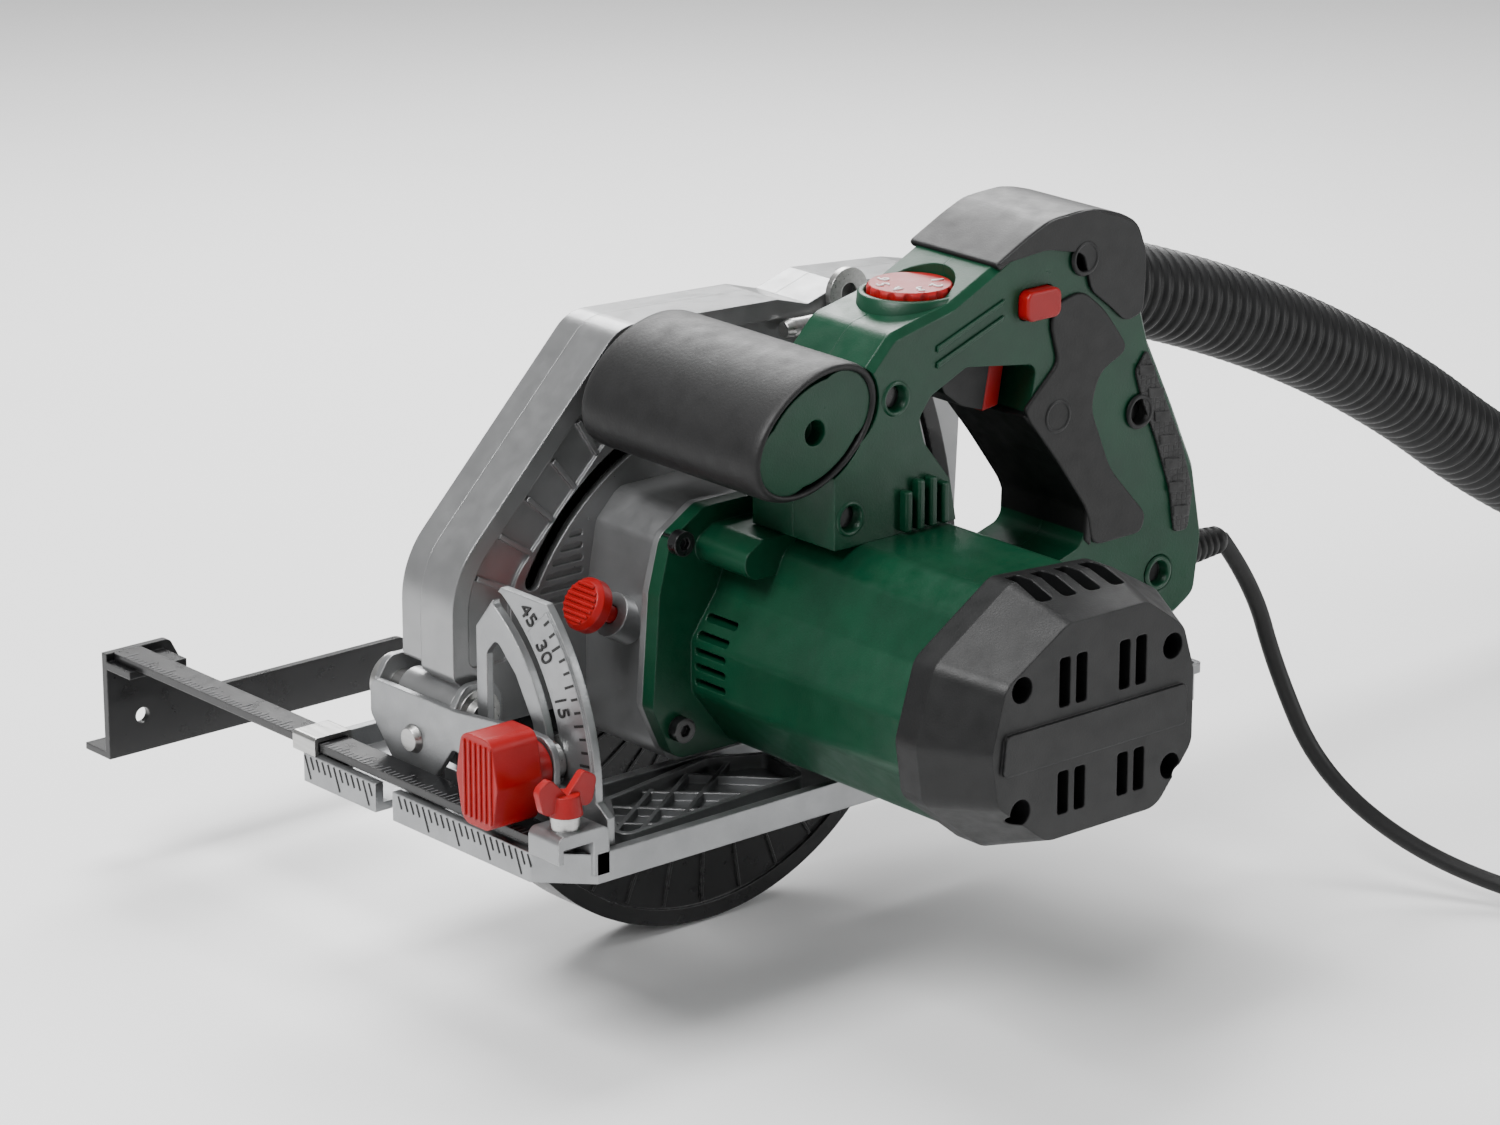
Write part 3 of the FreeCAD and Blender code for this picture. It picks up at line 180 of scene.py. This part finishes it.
def textured_rubber(name, colour, cell):
    """Rubber moulded with a fine diamond grip, with painted shade in the grooves between the diamonds."""
    g = Graph(name)
    shader = g.shader
    weave = g.node("ShaderNodeTexVoronoi", feature="DISTANCE_TO_EDGE")
    weave.inputs["Scale"].default_value = cell
    weave.inputs["Randomness"].default_value = 0.15
    g.join(g.place, weave.inputs["Vector"])
    raised = g.span(weave.outputs["Distance"], 0.02, 0.2, 0.0, 1.0)
    rounded_normal, edge = g.edges(0.001)
    # painted shade: the sunken grooves between the diamonds are coloured darker than the raised tops
    body = g.blend(raised, tuple(c * 0.6 for c in colour), colour)
    g.join(g.blend(g.span(edge, 0, 1, 0, 0.3), body, (0.12, 0.12, 0.12)), shader.inputs["Base Color"])
    g.join(g.span(g.noise(200.0), 0.3, 0.7, 0.55, 0.75), shader.inputs["Roughness"])
    g.join(g.bump(raised, 0.7, 0.0003, rounded_normal), shader.inputs["Normal"])
    return g.material


GREEN = finish("green_plastic", (0.0012, 0.034, 0.015), (0.03, 0.11, 0.07),
               0.34, grain=1300.0, spread=0.15, wear=0.45)
BLACK = finish("black_plastic", (0.0045, 0.0047, 0.005), (0.035, 0.035, 0.037),
               0.44, grain=1500.0, wear=0.5)
RUBBER = finish("black_rubber", (0.006, 0.006, 0.0062), (0.035, 0.035, 0.035),
                0.5, grain=900.0, grain_depth=0.00012, wear=0.4)
GRIPPY = textured_rubber("grip_rubber", (0.009, 0.009, 0.0095), 420.0)
CAST = finish("cast_metal", (0.27, 0.275, 0.28), (0.6, 0.6, 0.6), 0.36, metallic=0.85, grain=1100.0,
              grain_depth=0.00012, wear=0.6, spread=0.08)
PAINTED = finish("silver_paint", (0.25, 0.253, 0.256), (0.42, 0.42, 0.42), 0.34, metallic=0.75,
                 grain=1700.0, grain_depth=0.00006, wear=0.4, coat=0.2, spread=0.05)
ZINC = brushed("zinc_steel", (0.48, 0.48, 0.47), 0.3, (900.0, 60.0, 900.0))
BRIGHT = brushed("bright_steel", (0.56, 0.56, 0.57), 0.28, (2600.0, 2600.0, 160.0))
BLACK_STEEL = finish("black_steel", (0.005, 0.005, 0.0055), (0.2, 0.2, 0.2), 0.3, grain=2400.0,
                     grain_depth=0.000012, wear=0.35, coat=0.2)
RED = finish("red_plastic", (0.27, 0.003, 0.004), (0.5, 0.05, 0.04), 0.36, grain=1300.0, wear=0.4)
GREY = finish("grey_plastic", (0.12, 0.12, 0.125), (0.25, 0.25, 0.25), 0.45)
COPPER = brushed("copper", (0.72, 0.36, 0.2), 0.3, (1200.0, 60.0, 1200.0))
GRAPHITE = finish("graphite", (0.02, 0.02, 0.02), (0.05, 0.05, 0.05), 0.55)
INK = finish("ink", (0.01, 0.01, 0.01), (0.02, 0.02, 0.02), 0.5, wear=0.1)
WHITE_INK = finish("white_ink", (0.75, 0.75, 0.74), (0.8, 0.8, 0.8), 0.45, wear=0.1)

LOOKS = {
    GREEN: ["motor_housing", "handle_near_half", "handle_far_half", "second_handle_core"],
    BLACK: ["end_cap", "brush_holders", "hose_cuff", "plug", "trigger", "dust_duct"],
    RUBBER: ["grip_rubber", "second_handle_grip"],
    PAINTED: ["guard_shell", "guard_cover", "gearbox_housing", "spindle_lock_boss"],
    CAST: ["shoe", "bevel_quadrant", "bevel_ears", "depth_fork", "guide_clamp_block"],
    ZINC: ["base_rivets", "guide_bridge", "retraction_lever", "guide_screw_spring", "bevel_bolt",
           "bevel_rivets", "depth_pivot", "depth_clamp_stud", "blade_flanges"],
    BRIGHT: ["spindle", "spindle_gear", "blade_bolt", "blade", "armature_shaft", "armature_core",
             "pinion", "bearings", "stator", "trigger_pin"],
    BLACK_STEEL: ["depth_arc", "housing_screws", "hex_key", "lower_guard", "depth_lock_lever",
                  "guide_arm", "guide_fence"],
    RED: ["bevel_knob", "spindle_lock_button", "speed_dial", "lock_off_button", "guide_wing_screw"],
    GREY: ["motor_fan", "trigger_switch"],
    COPPER: ["commutator"],
    GRAPHITE: ["carbon_brushes"],
}
for material, names in LOOKS.items():
    for name in names:
        mesh_object = NODES[name]
        if not mesh_object.material_slots:
            mesh_object.data.materials.append(material)
        for slot in mesh_object.material_slots:
            slot.material = material


# ---------------------------------------------------------------- mesh helpers

def add(name, mesh, material, body, smooth=True):
    made = bpy.data.objects.new(name, mesh)
    bpy.context.scene.collection.objects.link(made)
    mesh.materials.append(material)
    if smooth:
        for polygon in mesh.polygons:
            polygon.use_smooth = True
    if body:
        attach(made, body)
    return made


def from_faces(name, points, faces, material, body, smooth=False):
    mesh = bpy.data.meshes.new(name)
    mesh.from_pydata([tuple(p) for p in points], [], faces)
    mesh.update()
    return add(name, mesh, material, body, smooth)


def extruded(name, outline, low, high, material, body, bevel=0.8, plane="XZ", segments=3):
    """A flat outline given depth, with rounded edges. In plane XZ the depth runs along Y."""
    places = {"XZ": lambda u, v, w: at(u, w, v), "YZ": lambda u, v, w: at(w, u, v), "XY": at}
    place = places[plane]
    mesh = bpy.data.meshes.new(name)
    bm = bmesh.new()
    first = [bm.verts.new(place(u, v, low)) for u, v in outline]
    second = [bm.verts.new(place(u, v, high)) for u, v in outline]
    bm.faces.new(first)
    bm.faces.new(list(reversed(second)))
    count = len(outline)
    for i in range(count):
        bm.faces.new([first[i], second[i], second[(i + 1) % count], first[(i + 1) % count]])
    bmesh.ops.recalc_face_normals(bm, faces=bm.faces)
    bm.to_mesh(mesh)
    bm.free()
    made = add(name, mesh, material, body, smooth=False)
    if bevel:
        soften = made.modifiers.new("soften", "BEVEL")
        soften.width = bevel / 1000
        soften.segments = segments
        soften.limit_method = "ANGLE"
        soften.angle_limit = math.radians(25)
    return made


def turned(name, profile, origin, axis, material, body, steps=48):
    """A profile of (along, radius) pairs in millimetres, turned about an axis through origin."""
    axis = Vector(axis).normalized()
    side = axis.orthogonal().normalized()
    other = axis.cross(side)
    points, faces = [], []
    for along, radius in profile:
        for k in range(steps):
            turn = 2 * math.pi * k / steps
            outward = side * math.cos(turn) + other * math.sin(turn)
            points.append(Vector(origin) + (axis * along + outward * radius) / 1000)
    for row in range(len(profile) - 1):
        for k in range(steps):
            after = (k + 1) % steps
            faces.append((row * steps + k, row * steps + after, (row + 1) * steps + after,
                          (row + 1) * steps + k))
    return from_faces(name, points, faces, material, body, smooth=True)


def spline(name, points, radius, material=None):
    """A smooth NURBS line through a given route, as a tube if it has a radius."""
    curve = bpy.data.curves.new(name, "CURVE")
    curve.dimensions = "3D"
    line = curve.splines.new("NURBS")
    line.points.add(len(points) - 1)
    for control, point in zip(line.points, points):
        control.co = (*point, 1)
    line.order_u = 3
    line.use_endpoint_u = True
    line.resolution_u = 12
    curve.bevel_depth = radius
    curve.bevel_resolution = 5
    curve.use_fill_caps = True
    if material:
        curve.materials.append(material)
    made = bpy.data.objects.new(name, curve)
    bpy.context.scene.collection.objects.link(made)
    return made


def line_points(curve_object):
    """The points along a curve without bevel."""
    bpy.context.view_layer.update()
    mesh = bpy.data.meshes.new_from_object(curve_object)
    return [vertex.co.copy() for vertex in mesh.vertices]


def path_length(points):
    return sum((second - first).length for first, second in zip(points, points[1:]))


# ---------------------------------------------------------------- mains cord and dust hose

CORD_RADIUS = 3.2
route = [at(*p) for p in [(-168, 100, 60), (-184, 101, 40), (-190, 108, 8), (-198, 124, -30),
                          (-214, 158, -56), (-236, 204, FLOOR + CORD_RADIUS),
                          (-258, 254, FLOOR + CORD_RADIUS)]]
COIL_CENTRE = (-292, 286)
COIL_RADIUS = 35.6
COIL_HEIGHT = 66
RISE_PER_TURN = 6.5
TURNS = 10
PER_TURN = 14
coil = []
start_angle = math.atan2(-32, 34)
for step in range(TURNS * PER_TURN + 1):
    angle = start_angle + 2 * math.pi * step / PER_TURN
    level = FLOOR + CORD_RADIUS + RISE_PER_TURN * max(0.0, step - 2) / PER_TURN
    coil.append(at(COIL_CENTRE[0] + COIL_RADIUS * math.cos(angle),
                   COIL_CENTRE[1] + COIL_RADIUS * math.sin(angle), min(level, FLOOR + COIL_HEIGHT)))
cord = spline("mains_cord", route + coil, CORD_RADIUS / 1000, RUBBER)
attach(cord, "saw_head")
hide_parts("cord", "cord_coil")

HOSE_RADIUS = 18.0
hose_route = [at(*p) for p in [(-196, 1, 132), (-310, 1, 98), (-480, 1, -22),
                               (-650, -8, FLOOR + HOSE_RADIUS), (-810, -40, FLOOR + HOSE_RADIUS)]]
guide_line = spline("hose_guide", hose_route, 0.0)
hose_path = line_points(guide_line)
bpy.data.objects.remove(guide_line)


def resampled(points, gap):
    """Points an even gap apart along a line."""
    result = [points[0]]
    carried = 0.0
    for first, second in zip(points, points[1:]):
        length = (second - first).length
        travelled = gap - carried
        while travelled <= length:
            result.append(first.lerp(second, travelled / length))
            travelled += gap
        carried = length - (travelled - gap)
    return result


PITCH = 5.6 / 1000
STEPS_PER_RIB = 6
VALLEY_RADIUS = 15.9
RIB_HEIGHT = 2.0
samples = resampled(hose_path, PITCH / STEPS_PER_RIB)
sides = 40
hose_points, hose_faces = [], []
for i, centre in enumerate(samples):
    ahead = samples[min(i + 1, len(samples) - 1)] - samples[max(i - 1, 0)]
    ahead.normalize()
    side = ahead.cross(Vector((0, 1, 0))).normalized()
    other = ahead.cross(side)
    wave = 0.5 - 0.5 * math.cos(2 * math.pi * i / STEPS_PER_RIB)
    radius = (VALLEY_RADIUS + RIB_HEIGHT * wave ** 0.6) / 1000
    for k in range(sides):
        turn = 2 * math.pi * k / sides
        hose_points.append(centre + (side * math.cos(turn) + other * math.sin(turn)) * radius)
for i in range(len(samples) - 1):
    for k in range(sides):
        after = (k + 1) % sides
        hose_faces.append((i * sides + k, i * sides + after, (i + 1) * sides + after,
                           (i + 1) * sides + k))
hose = from_faces("corrugated_hose", hose_points, hose_faces, BLACK, "saw_head", smooth=True)
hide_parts("dust_hose")

# ---------------------------------------------------------------- strain relief and plug

relief_profile = [(0, 7.4), (4, 7.5)]
for rib in range(7):
    base_along, base_radius = 5 + rib * 3.4, 6.9 - rib * 0.28
    relief_profile += [(base_along, base_radius - 1.3), (base_along + 0.9, base_radius - 1.3),
                       (base_along + 1.1, base_radius), (base_along + 2.9, base_radius)]
relief_profile += [(30, 4.4), (31, 3.6), (31, 0)]
relief = turned("strain_relief_ribbed", [(0, 0)] + relief_profile, at(-137, 100, 60), (-1, 0, 0),
                RUBBER, "saw_head")
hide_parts("strain_relief")

out_axis = (Vector((-1, 1, 0))).normalized()
plug_base = at(COIL_CENTRE[0] - 40, COIL_CENTRE[1] + 40, FLOOR + 16)
plug_profile = [(0, 0), (0, 6), (2, 8), (8, 8.5), (9, 7.6), (11, 7.6), (12, 9), (17, 14), (20, 15.8),
                (34, 15.8), (36, 14.8), (36, 0)]
pin_profile = [(35, 0), (35, 2.4), (53.4, 2.4), (54.6, 1.4), (54.7, 0)]
plug_body = turned("plug_body", plug_profile, plug_base, out_axis, BLACK, "saw_head")
across = Vector((1, 1, 0)).normalized() * 0.0095
for side in (-1, 1):
    turned(f"plug_pin_{side + 2}", pin_profile, plug_base + across * side, out_axis, BRIGHT,
                       "saw_head")
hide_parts("plug")
measure = spline("cord_centreline", route + coil, 0.0)
cord_length = path_length(line_points(measure))
bpy.data.objects.remove(measure)

# ---------------------------------------------------------------- black shells on the main handle

def rounded_outline(points, radius=3.0, steps=4):
    """The outline with its corners cut round by short arcs."""
    result = []
    count = len(points)
    for i in range(count):
        corner = Vector(points[i])
        before = Vector(points[i - 1]) - corner
        after = Vector(points[(i + 1) % count]) - corner
        reach = min(radius, 0.45 * before.length, 0.45 * after.length)
        start, end = corner + before.normalized() * reach, corner + after.normalized() * reach
        for step in range(steps + 1):
            share = step / steps
            result.append(tuple(start.lerp(corner, share).lerp(corner.lerp(end, share), share)))
    return result


cap_outline = [(-36, 188.2), (-52, 196), (-62, 200), (-80, 201), (-95, 196), (-103, 192), (-107, 182),
               (-107, 170), (-106, 160), (-98, 158), (-90, 165), (-81, 172), (-77, 186), (-60, 190)]
cap_over_outline = [(-36, 188.6), (-52, 196.6), (-62, 200.4), (-80, 201.4), (-95, 197.2), (-103.6, 192.4),
                    (-107.4, 182), (-107.4, 168), (-105, 168), (-104.5, 181), (-101, 190), (-80, 198),
                    (-62, 197.4), (-38, 186)]
grip_outline = [(-50.5, 135), (-66, 149), (-64, 156), (-62, 163), (-64, 170), (-77, 173), (-88, 164),
                (-100, 148), (-86, 142), (-82, 130), (-92, 106), (-110, 86), (-108, 79.5), (-84, 79.2),
                (-81.2, 93), (-65.2, 115), (-52.2, 131)]
grip_front_outline = [(-50.4, 132.4), (-65, 116), (-81, 93.4), (-80.6, 82), (-84, 79), (-85, 93),
                      (-69, 117), (-55, 133.6)]
HANDLE_DEPTH = (75, 119)
SIDES = (("near", 117.4, 119.4), ("far", 74.6, 76.6))
for side, low, high in SIDES:
    extruded(f"cap_shell_{side}", rounded_outline(cap_outline), low, high, BLACK, "saw_head", bevel=0.9)
    extruded(f"grip_shell_{side}", rounded_outline(grip_outline, 5.0),
             low, high, RUBBER, "saw_head", bevel=0.9)
extruded("cap_over", rounded_outline(cap_over_outline, 7.0, 6), *HANDLE_DEPTH, BLACK, "saw_head",
         bevel=2.4, segments=5)
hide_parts("grip_rubber")
extruded("grip_front", grip_front_outline, *HANDLE_DEPTH, RUBBER, "saw_head", bevel=1.2)

# dark textured strip with raised pads down the grip's back
back_strip = [(-109, 146), (-118, 127), (-127, 109), (-133, 90), (-131, 76), (-124.5, 76), (-122, 92),
              (-114.5, 112), (-107.5, 127), (-103.5, 139)]
for side, low, high in (("near", 118.0, 119.3), ("far", 74.7, 76.0)):
    extruded(f"back_strip_{side}", rounded_outline(back_strip, 2.0),
             low, high, GRIPPY, "saw_head", bevel=0.5)
    top = high if side == "near" else low - 0.7
    sunk, proud = (0.4, 0.5) if side == "near" else (0, 0.9)
    for number in range(7):
        share = number / 6
        x, z = -108.6 - 18.6 * share ** 0.75, 137 - 55 * share
        pad = [(x - 3.6, z + 3.0), (x + 4.0, z + 4.2), (x + 3.6, z + 0.4), (x - 3.8, z - 1.0)]
        extruded(f"strip_pad_{side}_{number}", pad, top - sunk, top + proud, GRIPPY, "saw_head",
                 bevel=0.3)

# strips along the bar's side
for side, low, high in (("near", 118.0, 118.9), ("far", 75.1, 76.0)):
    for shift in (0, 5.6):
        strip = [(-10, 157 + shift), (-40, 168.5 + shift), (-41, 170.4 + shift), (-10, 159.2 + shift)]
        extruded(f"bar_groove_{side}_{int(shift)}", strip, low, high, GREEN, "saw_head", bevel=0.4)

# bosses round the handle's screws
for x, z in ((-66, 130), (-106, 124), (-78, 184), (-118, 62), (8, 150), (28, 112), (-10, 109)):
    through_shell = x in (-66, -78, -106)
    proud = 119.7 if through_shell else 118.6
    well = [(112 - proud, 3.6), (112 - proud + 0.01, 4.5), (-0.6, 4.5), (0, 5.0), (0, 5.9), (-0.9, 6.4)]
    turned(f"screw_well_{x + 200}", well, at(x, proud, z), (0, 1, 0), BLACK if through_shell else GREEN,
           "saw_head", steps=32)

# fins of the bracket under the second handle
for number, x in enumerate((-14, -8.4, -2.8, 2.8)):
    top = 122 - abs(number - 1.5) * 3
    extruded(f"bracket_fin_{number}", [(x, 103), (x + 3, 103), (x + 3, top), (x, top)], 117.5, 121.5,
             GREEN, "saw_head", bevel=0.8)

# rubber sleeve of the second handle, with rounded rims at both ends
SLEEVE_X, SLEEVE_Z = 43, 144.5
SLEEVE_HALF_WIDTH = 29.5
SLEEVE_HALF_HEIGHT = 19.0
tilt = math.radians(-30)
sections = [(24.6, 0.0), (24.6, 0.84), (24.9, 0.9), (25.6, 0.94), (27, 0.975), (29.5, 0.995), (33, 1.0),
            (70, 1.0), (110, 1.0), (114.5, 0.998), (116.6, 0.985), (117.7, 0.965), (118, 0.94),
            (118, 0.905), (117.6, 0.89), (115.5, 0.885)]
steps = 72
points, faces = [], []
for y, scale in sections:
    for k in range(steps):
        turn = 2 * math.pi * k / steps
        u = SLEEVE_HALF_WIDTH * scale * math.cos(turn)
        v = SLEEVE_HALF_HEIGHT * scale * math.sin(turn)
        points.append(at(SLEEVE_X + u * math.cos(tilt) - v * math.sin(tilt), y,
                         SLEEVE_Z + u * math.sin(tilt) + v * math.cos(tilt)))
for row in range(len(sections) - 1):
    for k in range(steps):
        after = (k + 1) % steps
        faces.append((row * steps + k, (row + 1) * steps + k, (row + 1) * steps + after,
                      row * steps + after))
sleeve = from_faces("second_handle_sleeve", points, faces, RUBBER, "saw_head", smooth=True)
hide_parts("second_handle_grip")

# ribs across the bevel knob's face
BEVEL_AXIS_Z = 24
QUADRANT_START = 8
KNOB_REACH = 69.5
KNOB_RIB_HALF = 13.5
knob_z = BEVEL_AXIS_Z + KNOB_REACH * math.sin(math.radians(QUADRANT_START))
knob_y = KNOB_REACH * math.cos(math.radians(QUADRANT_START))
low, high = knob_z - KNOB_RIB_HALF, knob_z + KNOB_RIB_HALF
for number in range(6):
    y = knob_y - 7 + 2.8 * number
    extruded(f"knob_rib_{number}", [(y, low), (y + 1.1, low), (y + 1.1, high), (y, high)], 148.8, 149.7,
             RED, "bevel_clamp", bevel=0.3, plane="YZ")

# raised frame at the speed dial
DIAL_X, DIAL_Y = -17, 97
turned("dial_frame", [(-3, 15.5), (1.2, 15.5), (1.8, 15.9), (1.8, 17.2), (1.2, 17.9), (-4.5, 18.6)],
       at(DIAL_X, DIAL_Y, 177.4), (0, 0, 1), GREEN, "saw_head")

# red stripe on the trigger
extruded("trigger_stripe", [(-42.5, 133.2), (-50, 134.2), (-53, 151), (-46, 151)], 87.75, 106.25, RED,
         "trigger_body", bevel=0.6)

# ---------------------------------------------------------------- numbers and scales


def number(name, words, size, place, normal, up, material, body):
    """A raised generic number, such as one on a scale."""
    text = bpy.data.curves.new(name, "FONT")
    text.body = words
    text.size = size / 1000
    text.extrude = 0.00025
    text.align_x = "CENTER"
    text.align_y = "CENTER"
    text.materials.append(material)
    made = bpy.data.objects.new(name, text)
    bpy.context.scene.collection.objects.link(made)
    normal, up = Vector(normal).normalized(), Vector(up).normalized()
    right = up.cross(normal).normalized()
    up = normal.cross(right)
    rows = [[right[r], up[r], normal[r], place[r]] for r in range(3)]
    made.matrix_world = Matrix(rows + [[0, 0, 0, 1]])
    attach(made, body)
    return made


for digit in range(1, 7):
    turn = math.radians(200 - 44 * digit)
    outward = Vector((math.cos(turn), math.sin(turn), 0))
    place = at(DIAL_X + 9.6 * outward.x, DIAL_Y + 9.6 * outward.y, 181.7)
    number(f"dial_{digit}", str(digit), 6.4, place, (0, 0, 1), outward, WHITE_INK, "dial")
NUMBER_REACH = 79
for value, angle, face_x in ((45, 46, 115.62), (30, 36, 116.42), (15, 22, 116.42)):
    turn = math.radians(angle)
    place = at(face_x, NUMBER_REACH * math.cos(turn), BEVEL_AXIS_Z + NUMBER_REACH * math.sin(turn))
    number(f"angle_{value}", str(value), 8.5, place, (1, 0, 0), (0, math.cos(turn), math.sin(turn)), INK,
           "base")


def ticks(name, marks, material, body, height=0.15):
    """Short raised bars joined in one mesh. A mark is (start, end, half width, normal)."""
    points, faces = [], []
    for start, end, half, normal in marks:
        along = (end - start).normalized()
        normal = Vector(normal)
        side = along.cross(normal).normalized() * half / 1000
        lift = normal * height / 1000
        first = len(points)
        points += [start - side, start + side, end + side, end - side]
        points += [p + lift for p in points[first:first + 4]]
        faces += [(first + a, first + b, first + c, first + d) for a, b, c, d in
                  ((4, 5, 6, 7), (0, 1, 5, 4), (1, 2, 6, 5), (2, 3, 7, 6), (3, 0, 4, 7))]
    return from_faces(name, points, faces, material, body)


def on_quadrant(reach, turn):
    """A point on the bevel quadrant's face, this far from the bevel axis."""
    return at(116.35, reach * math.cos(turn), BEVEL_AXIS_Z + reach * math.sin(turn))


# scales: bevel angles, the base plate's front edge and the guide's arm
marks = []
for step in range(0, 36, 3):
    turn = math.radians(QUADRANT_START + step)
    inner = 85.2 if step % 9 else 83.6
    marks.append((on_quadrant(inner, turn), on_quadrant(88.6, turn), 0.45, (1, 0, 0)))
ticks("quadrant_ticks", marks, INK, "base")
marks = []
for step in range(38):
    y = -43 + 3.4 * step
    if abs(y - 3) > 7:
        low = 1.5 if step % 5 == 0 else 5.5
        marks.append((at(139.05, y, 9.8), at(139.05, y + (10 - low) * 0.4, low), 0.32, (1, 0, 0)))
ticks("front_scale", marks, INK, "base")
marks = []
for step in range(0, 105):
    y = -158 + 2.4 * step
    if y > 78:
        break
    reach = 6 if step % 10 == 0 else 4.4 if step % 5 == 0 else 3
    marks.append((at(136.6, y, 15.02), at(136.6 - reach, y, 15.02), 0.18, (0, 0, 1)))
ticks("guide_scale", marks, GREY, "parallel_guide")

# ribs across the spindle lock button
RIB_SPACING = 2.1
RIB_CIRCLE = 7.6
press_turn = math.atan2(0.48, 0.88)
outward = Vector((math.cos(press_turn), 0, math.sin(press_turn)))
across_button = Vector((-math.sin(press_turn), 0, math.cos(press_turn)))
face_centre = at(0, 38, 30) + outward * 0.091
marks = []
for step in range(-3, 4):
    shift = RIB_SPACING * step
    reach = Vector((0, math.sqrt(RIB_CIRCLE ** 2 - shift ** 2) / 1000, 0))
    middle = face_centre + across_button * shift / 1000
    marks.append((middle - reach, middle + reach, 0.5, outward))
ticks("lock_button_ribs", marks, RED, "spindle_lock", height=0.7)

# ---------------------------------------------------------------- studio

floor_mesh = bpy.data.meshes.new("floor")
bm = bmesh.new()
bmesh.ops.create_grid(bm, x_segments=1, y_segments=1, size=6)
bm.to_mesh(floor_mesh)
bm.free()
paper = Graph("pale_paper")
tone = paper.blend(paper.span(paper.noise(3.0), 0.3, 0.7, 0, 1), (0.86, 0.86, 0.86), (0.89, 0.89, 0.89))
paper.join(tone, paper.shader.inputs["Base Color"])
paper.shader.inputs["Roughness"].default_value = 0.8
floor = add("floor", floor_mesh, paper.material, None)
floor.location = at(0, 0, FLOOR - 0.5)

world = bpy.data.worlds.new("studio")
world.use_nodes = True
world.node_tree.nodes["Background"].inputs["Color"].default_value = (1, 1, 1, 1)
world.node_tree.nodes["Background"].inputs["Strength"].default_value = 0.42
bpy.context.scene.world = world


def softbox(name, place, aim, power, width, height):
    data = bpy.data.lights.new(name, "AREA")
    data.shape = "RECTANGLE"
    data.size = width
    data.size_y = height
    data.energy = power
    made = bpy.data.objects.new(name, data)
    made.location = place
    made.rotation_euler = (Vector(aim) - Vector(place)).to_track_quat("-Z", "Y").to_euler()
    bpy.context.scene.collection.objects.link(made)


softbox("key", at(1000, 100, 1200), target, 30, 0.8, 0.6)
softbox("side", at(-900, 1200, 500), target, 8, 0.4, 0.8)
softbox("rim", at(-700, -900, 900), target, 24, 1.0, 0.5)
softbox("top", at(0, -200, 1500), target, 17, 0.7, 0.5)
